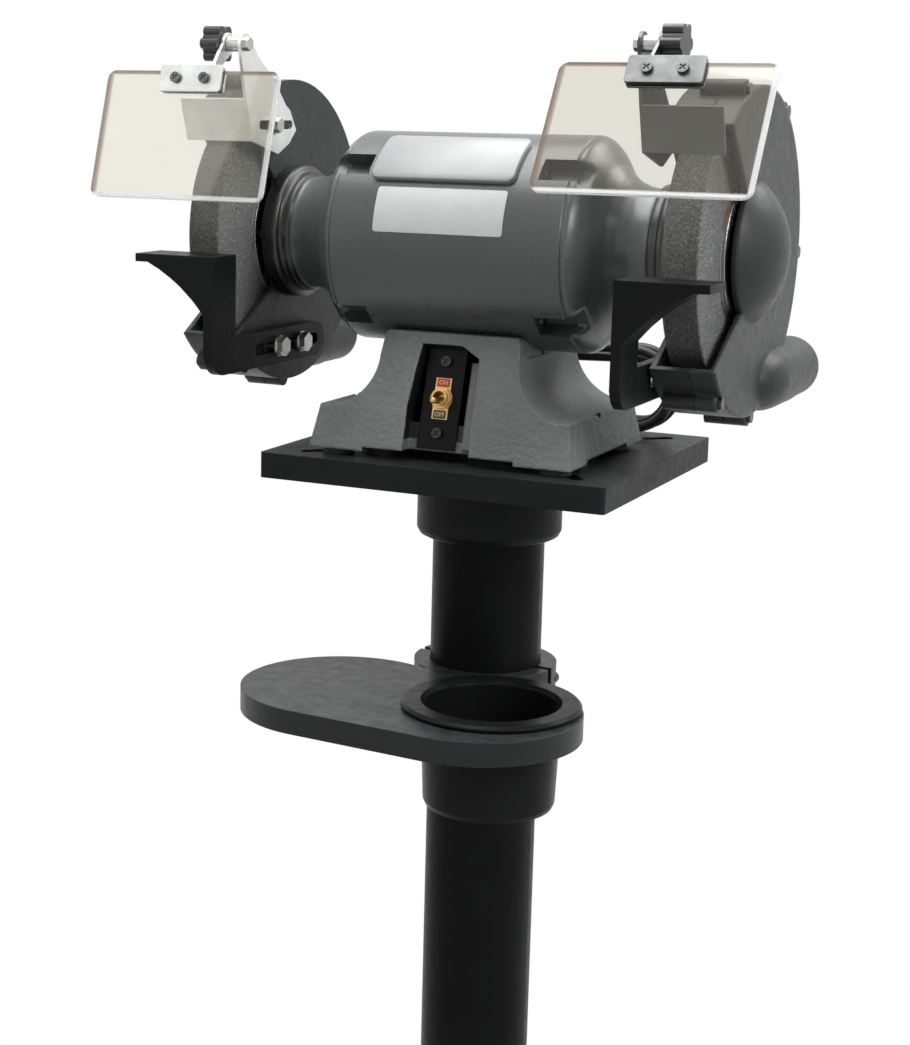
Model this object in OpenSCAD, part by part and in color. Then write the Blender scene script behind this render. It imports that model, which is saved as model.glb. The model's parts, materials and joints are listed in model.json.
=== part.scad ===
// Eight inch bench grinder on a pedestal stand.
// Millimetres. +Z is up, +X runs along the grinder's shaft to the right-hand wheel,
// -Y is the operator's side. The origin is on the floor, on the column's axis.

/* [Stand] */
// Height of the top plate's upper face above the floor
stand_h = 832; // [780:1:900]
// Outer diameter of the column
column_d = 88; // [84:1:92]
// Wall of the column
column_wall = 5.5; // [4:0.5:8]
// Width of the floor base, side to side
foot_w = 400; // [380:5:440]
// Depth of the floor base, front to back
foot_d = 380; // [360:5:420]
// Thickness of the floor base's flange
foot_t = 16; // [12:1:22]
// Height of the floor base's hub
foot_hub_h = 96; // [85:1:110]
// Wall of the floor base's hub around the column
foot_hub_wall = 16; // [14:0.5:18]
// Diameter of the floor bolt holes
floor_hole_d = 14; // [11:0.5:16]
// Distance between floor bolt holes, side to side
floor_hole_x = 310; // [300:2:320]
// Distance between floor bolt holes, front to back
floor_hole_y = 290; // [280:2:300]
// Width of the top plate, side to side
plate_w = 276; // [272:1:290]
// Depth of the top plate, front to back
plate_d = 250; // [244:1:256]
// Thickness of the top plate
plate_t = 19.5; // [16:0.5:24]
// How far the collar hangs below the top plate
collar_h = 52; // [46:1:60]
// Wall of the top plate's collar around the column
collar_wall = 13; // [11:0.5:15]

/* [Tool tray] */
// Distance from the top plate's upper face down to the tray's top
tray_drop = 173.5; // [165:0.5:185]
// Thickness of the tray
tray_t = 18; // [14:0.5:22]
// Radius of each round end of the tray
lobe_r = 79; // [76:1:82]
// Distance from the column to each round end's centre, side to side
lobe_x = 56; // [54:1:60]
// Distance from the column to the round ends' centres, to the front
lobe_y = 126; // [122:1:130]
// Wall of the tray's column clamp
clamp_wall = 12.7; // [11:0.5:14]
// Height of the tray's column clamp
clamp_h = 25; // [22:1:30]
// Gap between the tray and its rear clamp half
clamp_gap = 6; // [4:0.5:8]
// Turn of the tray about the column, seen from above
tray_turn = -4; // [-10:1:10]
// Outer radius of the coolant pot's rim
pot_rim_r = 66.7; // [64:0.5:68]
// Outer radius of the coolant pot's body at the top
pot_r = 52; // [49:0.5:54]
// Outer radius of the coolant pot's body at the bottom
pot_foot_r = 49; // [45:0.5:50]
// Depth of the coolant pot below its rim
pot_depth = 75; // [65:1:85]
// Wall of the coolant pot
pot_wall = 2.5; // [2:0.5:3.5]

/* [Grinder base] */
// Height of the base's feet above the top plate
pad_t = 5; // [4:0.5:7]
// Half width of the base at its feet
base_hw = 105; // [103:0.5:107]
// Half depth of the base at its feet
base_hd = 79.5; // [77:0.5:82]
// Height of the base's top above its feet
base_h = 89.5; // [87:0.5:92]
// Half width of the base at its top
base_top_hw = 54; // [52:0.5:55]
// Lean of the base's front and back, mm per mm of height
base_lean = 0.285; // [0.25:0.005:0.3]
// Wall of the base casting
base_wall = 7; // [6:0.5:8]
// Diameter of the two hold-down bolts
hold_d = 10; // [8:1:10]
// Distance from the middle to each hold-down bolt
hold_x = 88; // [86:0.5:90]

/* [Motor] */
// Height of the shaft above the top plate
shaft_h = 160.5; // [159:0.5:162]
// Distance of the shaft in front of the column's axis
shaft_fwd = 28; // [26:0.5:30]
// Outer radius of the motor shell
motor_r = 79.5; // [78:0.5:80]
// Wall of the motor shell
motor_wall = 5; // [4:0.5:7]
// Half length of the motor shell, seam to seam
shell_hl = 91; // [89:0.5:93]
// Outer radius of the end bells' neck
neck_r = 43; // [41:0.5:45]
// Diameter of the arbor
arbor_d = 15.875; // [15.5:0.125:16]
// Diameter of the shaft inside the motor and its bearings
journal_d = 20; // [19:0.5:21]
// Outer diameter of the ball bearings
bearing_d = 47; // [46:0.5:48]
// Width of the ball bearings
bearing_w = 14; // [12:0.5:15]
// Distance from the middle to each bearing's inner side
bearing_x = 118; // [114:0.5:122]
// Length of the stator core
stator_l = 76; // [70:1:84]
// Outer radius of the rotor
rotor_r = 43; // [40:0.5:45]

/* [Wheels] */
// Radius of the grinding wheels
wheel_r = 101.6; // [98:0.2:102]
// Width of the grinding wheels
wheel_w = 25.4; // [22:0.2:26]
// Distance from the middle to each wheel's inner side
wheel_x = 172.4; // [172:0.1:173]
// Radius of the wheel flanges
flange_r = 50; // [46:0.5:52]

/* [Wheel guards] */
// Outer radius of the wheel guards
guard_r = 117; // [115:0.5:119]
// Wall of the wheel guards
guard_wall = 4; // [3:0.5:5]
// Distance from the middle to the inner guard's motor side
guard_x = 163.5; // [163:0.1:164]
// Distance from the middle to the seam between inner guard and cover
seam_x = 190; // [188:0.5:192]
// Distance from the middle to the cover's outer face
cover_x = 210; // [209:0.5:212]
// Height of the cover's hub dome above its outer face
dome_h = 22; // [18:0.5:24]
// Outer radius of the exhaust spout
spout_r = 23.5; // [22:0.5:25]
// Length of the exhaust spout behind the shaft
spout_back = 145; // [138:1:150]

/* [Tool rests] */
// Length of each tool rest's table along the shaft
rest_w = 66; // [62:0.5:68]
// Depth of each tool rest's table
rest_d = 35; // [32:0.5:38]
// Thickness of the tool rest's table
rest_t = 6; // [5:0.5:7]
// Height of the table's top above the top plate
rest_h = 149; // [147:0.5:150]
// Distance from the shaft to the table's working edge
rest_reach = 107; // [106:0.5:109]
// Thickness of the tool rest's leg and arm
leg_t = 7.5; // [6:0.5:8]
// Height of the tool rest's arm
arm_w = 27; // [24:0.5:28]
// Height of the adjusting slots
slot_w = 9; // [8.6:0.2:9.4]

/* [Eye shields] */
// Width of the eye shields
shield_w = 146; // [130:1:156]
// Height of the eye shields
shield_h = 96; // [86:1:104]
// Thickness of the eye shields
shield_t = 3; // [2:0.5:4]
// Tilt of the left eye shield from upright
left_tilt = 17; // [5:1:30]
// Tilt of the right eye shield from upright
right_tilt = 32; // [20:1:38]
// Height of the shields' pivots above the top plate
pivot_h = 302; // [300:0.5:304]
// Distance of the left shield's pivot in front of the shaft
pivot_fwd = 90; // [89:0.5:92]
// How much further forward the right spark guard is set
right_set = 24; // [0:1:24]
// Thickness of the spark guards' sheet
sheet_t = 2.5; // [2:0.25:3]

/* [Mains lead] */
// Diameter of the mains lead
cord_d = 8; // [7.5:0.1:8.2]

/* [Hidden] */
$fn = 96;

fit = 0.1;
run_fit = 0.05;
air = 0.3;
eps = 0.01;

// Stand
column_r = column_d / 2;
foot_corner = 60;
foot_rim = 12;
foot_web = 9;
foot_ledge = 12;
foot_hub_r = column_r + foot_hub_wall;
floor_pad_r = 20;
set_screw_d = 10;
plate_web = 8;
plate_rim = 10;
collar_r = column_r + collar_wall;
column_top = stand_h - plate_web;
plate_slot_w = 10;
plate_slot_l = 26;
plate_slot_x = 103.5;
plate_slot_y = 97;

// Tool tray
tray_z = stand_h - tray_drop;
clamp_r = column_r + clamp_wall;
tray_fillet = 34;
tray_skirt = 7;
tray_web = 6;
tray_bolt_x = column_r + clamp_wall / 2;
tray_bolt_d = 6;
pot_x = 62.8;
pot_y = -114;
pot_rim_t = 5;
pot_mouth_r = pot_r - pot_wall;

// Grinder base: height zero is the top plate, depth zero the shaft
base_z = pad_t;
base_lean_a = atan(base_lean);
flare_r = base_hw - 10 - base_top_hw - 2;
flare_x = base_top_hw + 2 + flare_r;
flare_z = base_z + 71;
shoulder_z = flare_z - flare_r;
notch_h = 3;
notch_hw = 61;
notch_hd = 45;
cradle_r = motor_r + fit;
hold_y = -9;
hold_pad_r = 15;
hold_spot_r = 12.5;
hold_spot_z = base_z + 29;
cover_t = 1.5;
foot_pad = 30;
rubber_r = 12;
rubber_in = 17;

// Switch: on the sloping front, height along the slope
rec_top = 85;
rec_l = -28;
rec_r = 25;
rec_wall = 4;
rec_deep = 17;
sw_x = -5.5;
sw_set = 10;
sw_plate_t = 1.6;
sw_plate_l = -21;
sw_plate_r = 10;
sw_plate_z0 = 8;
sw_plate_z1 = rec_top - 1;
sw_mid = 45.8;
sw_screw_z = [19.8, 73.8];
sw_bush_r = 5.9;
sw_body_d = 20;
lever_rest = 12;

// Motor and shaft
pocket_x = 67;
pocket_w = 20;
pocket_deep = 12;
pocket_wall = 4;
tie_r = motor_r - 7.5;
tie_d = 4.5;
journal_r = journal_d / 2;
arbor_r = arbor_d / 2;
bearing_r = bearing_d / 2;
rotor_l = stator_l + 6;
rotor_gap = 0.6;
neck_x = 143;
ring_r = neck_r + 3;
big_ring_r = neck_r + 8;

// Wheel stack, outward along the shaft
blot_t = 0.8;
wheel_x1 = wheel_x + wheel_w;
fl_in1 = wheel_x - blot_t;
fl_in0 = fl_in1 - 3.6;
fl_out0 = wheel_x1 + blot_t;
fl_out1 = fl_out0 + 7;
nut_t = 11;
nut_af = 26;
arbor_end = fl_out1 + nut_t + 3.5;

// Wheel guards, seen along the shaft: depth backwards, height up
wedge = [[-29, -40], [-29, 40], [-200, 224], [-200, -141]];
boss_ring = guard_r + 2;
boss_r = 7;
boss_at = [236.4, 108, 56, -3, -85];
cover_screw_d = 5;
mount_screw_d = 6;
dome_r = 50;
dome_ball = (dome_r * dome_r + dome_h * dome_h) / (2 * dome_h);
spout_x = 200.6;
spout_z = -(guard_r - 20.2);
spout_wall = 2.2;
spout_from = 18;
spout_nose = 62;
spout_free = 41;
hub_hole_r = 14;

// Tool rests
leg_x1 = guard_x - 2.5;
leg_x0 = leg_x1 - leg_t;
rest_x1 = leg_x0 + rest_w;
arm_z = 74;
arm_back = 37;
slot_y0 = -77;
slot_y1 = 25;
rest_bolt_y = [-40.5, -4];
rest_bolt_d = 8;
arm_r = 13;

// Spark guards and shields
spark_x0 = 156;
spark_x1 = spark_x0 + sheet_t;
spark_x2 = 213;
spark_bolt_y = -45;
spark_bolt_z = 243;
spark_bolt_d = 6;
spark_slot = [-68, -16];
pivot_r = 3;
holder_x = 170;
shield_x = 185;
shield_y = -18;
shield_top = -27;
clamp_w = 52;
clamp_bar_h = 20;
clamp_up = 4;
clamp_screw_pitch = 24;
knob_x = holder_x + sheet_t + 0.5;
knob_r = 14;
knob_t = 14;

// Mains lead
cord_r = cord_d / 2;
cord_exit = [-31, 66];
back_y = base_hd - base_lean * (cord_exit[1] - base_z) - shaft_fwd;
relief_l = 24;
hank_x = 31;
hank_run = 52;
hank_in = 24;
hank_step = 9.5;
hank_pitch = cord_d + 0.7;
hank_y = 92;
hank_z = hank_in + hank_step + cord_r + 0.5;
hank_turns = 3.5;
hank_n = 24;
lead_pts = [[-31, 58, 66], [-31, 62, 66], [-30, 69, 66.6], [-26, 76, 68], [-21, 82, 69.6],
    [-14, 87, 70.9], [-6, 90.4, 71.5], [3, 91.8, 71.5], [11, 92, 71.5], [19, 92, 71.5], [23, 92, 71.5]];

module color_of(c) color(c) children();
module rrect(w, d, r) {
    square([w - 2 * r, d], center = true);
    square([w, d - 2 * r], center = true);
    for (x = [-1, 1], y = [-1, 1])
        translate([x * (w / 2 - r), y * (d / 2 - r)]) circle(r);
}
module slot2d(l, w) {
    square([l - w, w], center = true);
    for (x = [-1, 1]) translate([x * (l - w) / 2, 0]) circle(d = w, $fn = 48);
}
module rod_x(r, x0, x1, f = 64) translate([x0, 0, 0]) rotate([0, 90, 0]) cylinder(r = r, h = x1 - x0, $fn = f);
module rod_y(r, y0, y1, f = 64) translate([0, y0, 0]) rotate([-90, 0, 0]) cylinder(r = r, h = y1 - y0, $fn = f);
module hex_x(af, x0, x1) translate([x0, 0, 0]) rotate([0, 90, 0]) cylinder(d = af / cos(30), h = x1 - x0, $fn = 6);
// Turns a profile of [along the shaft, radius] points into a solid about the shaft
module turn_x(p) rotate([0, 90, 0]) rotate_extrude() polygon([for (q = p) [q[1], q[0]]]);
// Extrudes a [depth, height] outline along the shaft
module along_x(x0, x1) translate([x0, 0, 0]) rotate([90, 0, 90]) linear_extrude(x1 - x0) children();
// Extrudes a [width, height] outline front to back
module along_y(y0, y1) translate([0, y1, 0]) rotate([90, 0, 0]) linear_extrude(y1 - y0) children();
module on_plate() translate([0, -shaft_fwd, stand_h]) children();
module on_shaft() translate([0, -shaft_fwd, stand_h + shaft_h]) children();
module side(s) { if (s > 0) children(); else mirror([1, 0, 0]) children(); }
module both() { for (s = [-1, 1]) side(s) children(); }

// Floor base: a flanged bell with four bolt pads and a hub that holds the column
module stand_base() color("#232527") difference() {
    union() {
        linear_extrude(foot_t) rrect(foot_w, foot_d, foot_corner);
        rotate_extrude() polygon([[0, 0], [150, 0], [150, foot_t], [128, foot_t + 4], [104, foot_t + 12],
            [84, foot_t + 24], [foot_hub_r + 6, foot_t + 40], [foot_hub_r, foot_t + 52],
            [foot_hub_r, foot_hub_h - 4], [foot_hub_r - 4, foot_hub_h], [0, foot_hub_h]]);
        for (x = [-1, 1], y = [-1, 1]) translate([x * floor_hole_x / 2, y * floor_hole_y / 2, 0])
            cylinder(r = floor_pad_r, h = foot_t + 3);
    }
    difference() {
        translate([0, 0, -1]) linear_extrude(foot_t - foot_web + 1)
            rrect(foot_w - 2 * foot_rim, foot_d - 2 * foot_rim, foot_corner - foot_rim);
        translate([0, 0, -2]) cylinder(r = foot_hub_r + 8, h = foot_t);
        for (x = [-1, 1], y = [-1, 1]) translate([x * floor_hole_x / 2, y * floor_hole_y / 2, -2])
            cylinder(r = floor_pad_r, h = foot_t);
        for (a = [0, 45, 90, 135]) rotate(a) translate([-foot_w, -4, -2]) cube([2 * foot_w, 8, foot_t]);
    }
    translate([0, 0, foot_ledge]) cylinder(r = column_r + fit, h = foot_hub_h);
    translate([0, 0, -1]) cylinder(r = column_r - column_wall - 6, h = foot_hub_h);
    for (x = [-1, 1], y = [-1, 1]) translate([x * floor_hole_x / 2, y * floor_hole_y / 2, -1])
        cylinder(d = floor_hole_d, h = foot_t + 6, $fn = 48);
    for (a = [60, 120]) rotate(a) translate([0, 0, foot_hub_h - 22])
        rod_x(set_screw_d / 2 + fit, column_r - 4, foot_hub_r + 4, 48);
}
module column() color("#1c1d1f") difference() {
    translate([0, 0, foot_ledge]) cylinder(r = column_r, h = column_top - foot_ledge);
    translate([0, 0, foot_ledge - 1]) cylinder(r = column_r - column_wall, h = column_top);
}
module column_set_screws() color("#3a3c3e") {
    for (a = [60, 120]) {
        rotate(a) translate([0, 0, foot_hub_h - 22]) difference() {
            rod_x(set_screw_d / 2, column_r + fit, foot_hub_r - 1, 48);
            hex_x(set_screw_d / 2, foot_hub_r - 5, foot_hub_r);
        }
        rotate(a) translate([0, 0, stand_h - plate_t - collar_h + 18]) difference() {
            rod_x(set_screw_d / 2, column_r + fit, collar_r - 1, 48);
            hex_x(set_screw_d / 2, collar_r - 5, collar_r);
        }
    }
}
module top_plate() color("#2b2d2f") difference() {
    union() {
        translate([0, 0, stand_h - plate_t]) linear_extrude(plate_t) rrect(plate_w, plate_d, 3);
        translate([0, 0, stand_h - plate_t - collar_h]) rotate_extrude()
            polygon([[0, 0], [collar_r - 6, 0], [collar_r - 2, 2], [collar_r, 6], [collar_r, collar_h + 4],
                [0, collar_h + 4]]);
    }
    translate([0, 0, stand_h - plate_t - 1]) linear_extrude(plate_t - plate_web + 1) difference() {
        rrect(plate_w - 2 * plate_rim, plate_d - 2 * plate_rim, 6);
        circle(collar_r + 4);
        for (a = [0, 90]) rotate(a) square([plate_w + plate_d, 7], center = true);
    }
    translate([0, 0, stand_h - plate_t - collar_h - 1]) cylinder(r = column_r + fit,
        h = plate_t + collar_h + 1 - plate_web);
    for (x = [-1, 1], y = [-1, 1]) translate([x * plate_slot_x, y * plate_slot_y, stand_h - plate_t - 1])
        rotate(x * y * 45) linear_extrude(plate_t + 2) slot2d(plate_slot_l, plate_slot_w);
    on_plate() for (x = [-1, 1]) translate([x * hold_x, hold_y, -plate_t - 1])
        cylinder(d = hold_d + 1, h = plate_t + 2, $fn = 48);
    for (a = [60, 120]) rotate(a) translate([0, 0, stand_h - plate_t - collar_h + 18])
        rod_x(set_screw_d / 2 + fit, column_r - 4, collar_r + 4, 48);
}
module hold_down_bolts() color("#8d8f8f") on_plate() for (x = [-1, 1]) translate([x * hold_x, hold_y, 0]) {
    translate([0, 0, -plate_web - 1.8]) cylinder(r = hold_d, h = 1.8, $fn = 48);
    translate([0, 0, -plate_web - 1.8 - 6.5]) cylinder(d = 1.7 * hold_d / cos(30), h = 6.5, $fn = 6);
    translate([0, 0, -plate_web - 2]) cylinder(d = hold_d, h = hold_spot_z + plate_web - 4, $fn = 48);
}
module rubber_feet() color("#151515") on_plate() for (x = [-1, 1], y = [-1, 1])
    translate([x * (base_hw - rubber_in), y * (base_hd - rubber_in), 0]) cylinder(r = rubber_r, h = pad_t);

// Where two circles round given centres meet
function meet(a, ra, b, rb, s) = let(d = norm(b - a), m = (d * d + ra * ra - rb * rb) / (2 * d),
    h = sqrt(max(0, ra * ra - m * m)), u = (b - a) / d) a + m * u + s * h * [-u[1], u[0]];

module tray_outline() {
    for (x = [-1, 1]) {
        c = [x * lobe_x, -lobe_y];
        f = meet(c, lobe_r + tray_fillet, [0, 0], clamp_r + tray_fillet, x);
        translate(c) circle(lobe_r);
        difference() {
            polygon([c, f, [0, 0]]);
            translate(f) circle(tray_fillet);
        }
    }
    polygon([[-lobe_x, -lobe_y - lobe_r], [lobe_x, -lobe_y - lobe_r], [lobe_x, -lobe_y], [0, 0], [-lobe_x, -lobe_y]]);
    circle(clamp_r);
}
module at_tray() rotate(tray_turn) translate([0, 0, tray_z]) children();
module tool_tray() color("#27292b") at_tray() difference() {
    union() {
        translate([0, 0, -tray_t]) linear_extrude(tray_t) tray_outline();
        translate([0, 0, -clamp_h]) cylinder(r = clamp_r, h = clamp_h);
    }
    translate([0, 0, -clamp_h - 1]) cylinder(r = column_r + run_fit, h = clamp_h + 2);
    translate([-clamp_r - 1, -clamp_gap / 2, -clamp_h - 1]) cube([2 * clamp_r + 2, clamp_r + 10, clamp_h + 2]);
    translate([pot_x, pot_y, -tray_t - 1]) cylinder(r = pot_r + 1, h = tray_t + 2);
    translate([0, 0, -tray_t - 1]) linear_extrude(tray_t - tray_web + 1) difference() {
        union() {
            for (x = [-1, 1]) translate([x * lobe_x, -lobe_y]) circle(lobe_r - tray_skirt);
            translate([-lobe_x, -lobe_y - lobe_r + tray_skirt]) square([2 * lobe_x, 2 * (lobe_r - tray_skirt) - 12]);
        }
        circle(clamp_r + 6);
        translate([pot_x, pot_y]) circle(pot_r + 1 + tray_skirt);
        translate([-6, -lobe_y - lobe_r]) square([7, lobe_y + lobe_r]);
    }
    for (x = [-1, 1]) translate([x * tray_bolt_x, 0, -clamp_h / 2]) rod_y(tray_bolt_d / 2 + fit, -24, 0, 48);
}
module tray_clamp() color("#27292b") at_tray() difference() {
    translate([0, 0, -clamp_h]) cylinder(r = clamp_r, h = clamp_h);
    translate([0, 0, -clamp_h - 1]) cylinder(r = column_r + run_fit, h = clamp_h + 2);
    translate([-clamp_r - 1, -clamp_r - 1, -clamp_h - 1]) cube([2 * clamp_r + 2, clamp_r + 1 + clamp_gap / 2, clamp_h + 2]);
    for (x = [-1, 1]) translate([x * tray_bolt_x, 0, -clamp_h / 2]) {
        rod_y(tray_bolt_d / 2 + fit, 0, 40, 48);
        rod_y(tray_bolt_d, 16, 50, 48);
    }
}
module tray_clamp_bolts() color("#4a4c4e") at_tray() for (x = [-1, 1])
    translate([x * tray_bolt_x, 0, -clamp_h / 2]) {
        rod_y(tray_bolt_d / 2, -20, 16.5, 48);
        difference() {
            rod_y(tray_bolt_d * 0.8, 16, 22, 48);
            translate([0, 19, 0]) rotate([-90, 0, 0]) cylinder(d = 5.6, h = 4, $fn = 6);
        }
    }
module coolant_pot() color("#242628") at_tray() translate([pot_x, pot_y, 0]) rotate_extrude() polygon([
    [0, -pot_depth], [pot_foot_r - 5, -pot_depth], [pot_foot_r - 1.5, -pot_depth + 1.5],
    [pot_foot_r, -pot_depth + 5], [pot_r, 0], [pot_rim_r - 1.5, 0], [pot_rim_r, 1.5],
    [pot_rim_r, pot_rim_t - 2], [pot_rim_r - 2, pot_rim_t], [pot_mouth_r + 2.5, pot_rim_t],
    [pot_mouth_r, pot_rim_t - 2.5], [pot_foot_r - pot_wall, -pot_depth + 6], [pot_foot_r - 7, -pot_depth + pot_wall],
    [0, -pot_depth + pot_wall]]);

// Grinder base: half outline of its front, grown inwards by w for the hollow
module base_front(w) {
    top = base_z + base_h - w;
    hw = base_hw - w;
    difference() {
        polygon([[-hw, base_z], [hw, base_z], [hw - 5 * (shoulder_z - base_z) / 33, shoulder_z - w],
            [flare_x, shoulder_z - w], [base_top_hw + 2 - w, flare_z], [base_top_hw - w, top - 2.5],
            [base_top_hw - 2.5 - w, top], [-base_top_hw + 2.5 + w, top], [-base_top_hw + w, top - 2.5],
            [-base_top_hw - 2 + w, flare_z], [-flare_x, shoulder_z - w],
            [-hw + 5 * (shoulder_z - base_z) / 33, shoulder_z - w]]);
    }
    difference() {
        for (x = [-1, 1]) translate([x * (flare_x + base_top_hw) / 2, (flare_z + shoulder_z - w) / 2])
            square([flare_x - base_top_hw - 0.02, flare_z - shoulder_z + w], center = true);
        for (x = [-1, 1]) translate([x * flare_x, flare_z]) circle(flare_r + w);
    }
}
module base_side(w) {
    hd = base_hd - w;
    polygon([[-hd, base_z - 1], [hd, base_z - 1], [hd - base_lean * (base_h + 1), base_z + base_h],
        [-hd + base_lean * (base_h + 1), base_z + base_h]]);
}
module base_block(w) intersection() {
    along_y(-base_hd - 1, base_hd + 1) base_front(w);
    along_x(-base_hw - 1, base_hw + 1) base_side(w);
}
// Frame on the sloping front: height runs up the slope, depth goes straight in
module on_slope() translate([0, -base_hd, base_z]) rotate([-base_lean_a, 0, 0]) children();
module recess_2d(w) polygon([[rec_l - w, -6], [rec_r + 1 + w, -6], [rec_r - 1 + w, rec_top - 9 + w / 2],
    [9 + w / 2, rec_top + w], [-23 - w, rec_top + w], [-26 - w, 64], [rec_l - 1 - w, 38]]);
module slope_prism(y0, y1) translate([0, y1, 0]) rotate([90, 0, 0]) linear_extrude(y1 - y0) children();
module grinder_base() color("#7c8180") on_plate() difference() {
    union() {
        difference() {
            base_block(0);
            translate([0, 0, -0.01]) base_hollow();
        }
        intersection() {
            base_block(0);
            union() {
                on_slope() slope_prism(0.1, rec_deep) recess_2d(rec_wall);
                on_slope() translate([rec_l - 2, sw_set + sw_plate_t, 1]) cube([rec_r - rec_l + 3, 16, 26]);
                on_slope() translate([-17, sw_set + sw_plate_t, rec_top - 18]) cube([24, 16, 24]);
                for (x = [-1, 1]) translate([x * hold_x, hold_y, base_z])
                    cylinder(r = hold_pad_r, h = base_h);
                for (x = [-1, 1], y = [-1, 1])
                    translate([x * (base_hw - foot_pad / 2), y * (base_hd - foot_pad / 2), base_z + 5])
                        cube([foot_pad, foot_pad, 10], center = true);
                for (x = [-1, 1], y = [-1, 1]) translate([x * 50, y * 44, base_z + notch_h + cover_t])
                    cylinder(r = 6, h = base_h);
            }
        }
    }
    difference() {
        on_slope() slope_prism(-2, rec_deep + 1) recess_2d(0);
        on_slope() translate([rec_l - 4, sw_set + sw_plate_t, 1]) cube([rec_r - rec_l + 8, 20, 26]);
        on_slope() translate([-17, sw_set + sw_plate_t, rec_top - 18]) cube([24, 20, 24]);
    }
    translate([0, 0, shaft_h]) rod_x(cradle_r, -base_hw, base_hw, 128);
    translate([-notch_hw, -base_hd - 1, base_z - 1]) cube([2 * notch_hw, 2 * base_hd + 2, notch_h + 1]);
    translate([-base_hw - 1, -notch_hd, base_z - 1]) cube([2 * base_hw + 2, 2 * notch_hd, notch_h + 1]);
    for (x = [-1, 1]) translate([x * hold_x, hold_y, 0]) {
        cylinder(d = hold_d + 2 * fit, h = base_h, $fn = 48);
        translate([0, 0, hold_spot_z]) cylinder(r = hold_spot_r, h = base_h, $fn = 48);
    }
    translate([cord_exit[0], base_hd, cord_exit[1]]) rod_y(cord_r + 2 + fit, -60, 20, 48);
    on_slope() for (z = sw_screw_z) translate([sw_x, 0, z]) rod_y(2 + fit, sw_set, 25, 32);
    translate([base_top_hw - 12, -12, base_z + base_h - 14]) rod_x(2.5, -0, 20, 32);
}
module base_hollow() difference() {
    union() {
        base_block(base_wall);
        translate([-base_hw + base_wall, -base_hd + base_wall, base_z - 2])
            cube([2 * (base_hw - base_wall), 2 * (base_hd - base_wall), 3]);
    }
    translate([0, 0, shaft_h]) rod_x(motor_r + base_wall, -base_hw, base_hw, 128);
}
module base_bottom_cover() color("#2a2c2e") on_plate() difference() {
    translate([0, 0, base_z + notch_h]) linear_extrude(cover_t - fit) difference() {
        square([2 * (base_hw - base_wall - 2), 2 * (base_hd - base_wall - 2)], center = true);
        for (x = [-1, 1], y = [-1, 1]) translate([x * base_hw, y * base_hd])
            square([2 * foot_pad + 1, 2 * foot_pad + 1], center = true);
        for (x = [-1, 1]) translate([x * hold_x, hold_y]) circle(hold_pad_r + 0.5);
        translate([rec_l - 8, -base_hd]) square([rec_r - rec_l + 16, 34]);
    }
}
module switch_plate() color("#17181a") on_plate() on_slope() difference() {
    union() {
        slope_prism(sw_set, sw_set + sw_plate_t) translate([sw_plate_l, sw_plate_z0])
            square([sw_plate_r - sw_plate_l, sw_plate_z1 - sw_plate_z0]);
        for (x = [sw_plate_l, sw_plate_r - sw_plate_t]) translate([x, sw_set, 30])
            cube([sw_plate_t, 9, rec_top - 52]);
    }
    for (z = sw_screw_z) translate([sw_x, 0, z]) rod_y(2 + fit, 0, 20, 32);
    translate([sw_x, 0, sw_mid]) rod_y(sw_bush_r + fit, 0, 20, 48);
}
module switch_screws() color("#1b1c1e") on_plate() on_slope() for (z = sw_screw_z)
    translate([sw_x, 0, z]) {
        rod_y(2, sw_set - 0.5, sw_set + 12, 32);
        difference() {
            rod_y(4, sw_set - 2.4, sw_set, 48);
            for (a = [45, 135]) rotate([0, a, 0]) translate([-2.6, sw_set - 3, -0.5]) cube([5.2, 1.6, 1]);
        }
    }
module switch_body() color("#b08d4a") on_plate() on_slope() translate([sw_x, 0, sw_mid]) difference() {
    union() {
        translate([-9, sw_set + sw_plate_t, -16]) cube([18, sw_body_d, 32]);
        rod_y(sw_bush_r, sw_set - 6.5, sw_set + sw_plate_t + 1, 48);
    }
    translate([0, sw_set - 6.6, 0]) rotate([-90, 0, 0]) cylinder(r1 = 4.9, r2 = 3.3, h = 7.6, $fn = 48);
}
module switch_nut() color("#c29a4e") on_plate() on_slope() translate([sw_x, 0, sw_mid]) difference() {
    union() {
        translate([0, sw_set - 3.2, 0]) rotate([-90, 0, 0]) cylinder(d = 17, h = 2.4, $fn = 6);
        rod_y(7.6, sw_set - 4, sw_set - 3.1, 48);
    }
    rod_y(sw_bush_r + 0.02, -5, 20, 48);
}
module on_off_plate() color("#b4934f") on_plate() on_slope() difference() {
    slope_prism(sw_set - 0.8, sw_set) translate([sw_x, sw_mid]) {
        square([12.5, 31], center = true);
        circle(8.5);
    }
    translate([sw_x, 0, sw_mid]) rod_y(sw_bush_r + fit, 0, 20, 48);
}
// Toggle lever: its pivot is at the bush's inner end
module switch_lever() color("#cfa85c") on_plate() on_slope() translate([sw_x, sw_set, sw_mid])
    rotate([lever_rest, 0, 0]) {
        translate([0, -16, 0]) rotate([-90, 0, 0]) cylinder(r1 = 2.2, r2 = 1.5, h = 16, $fn = 32);
        translate([0, -16, 0]) sphere(2.7, $fn = 32);
    }

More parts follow.
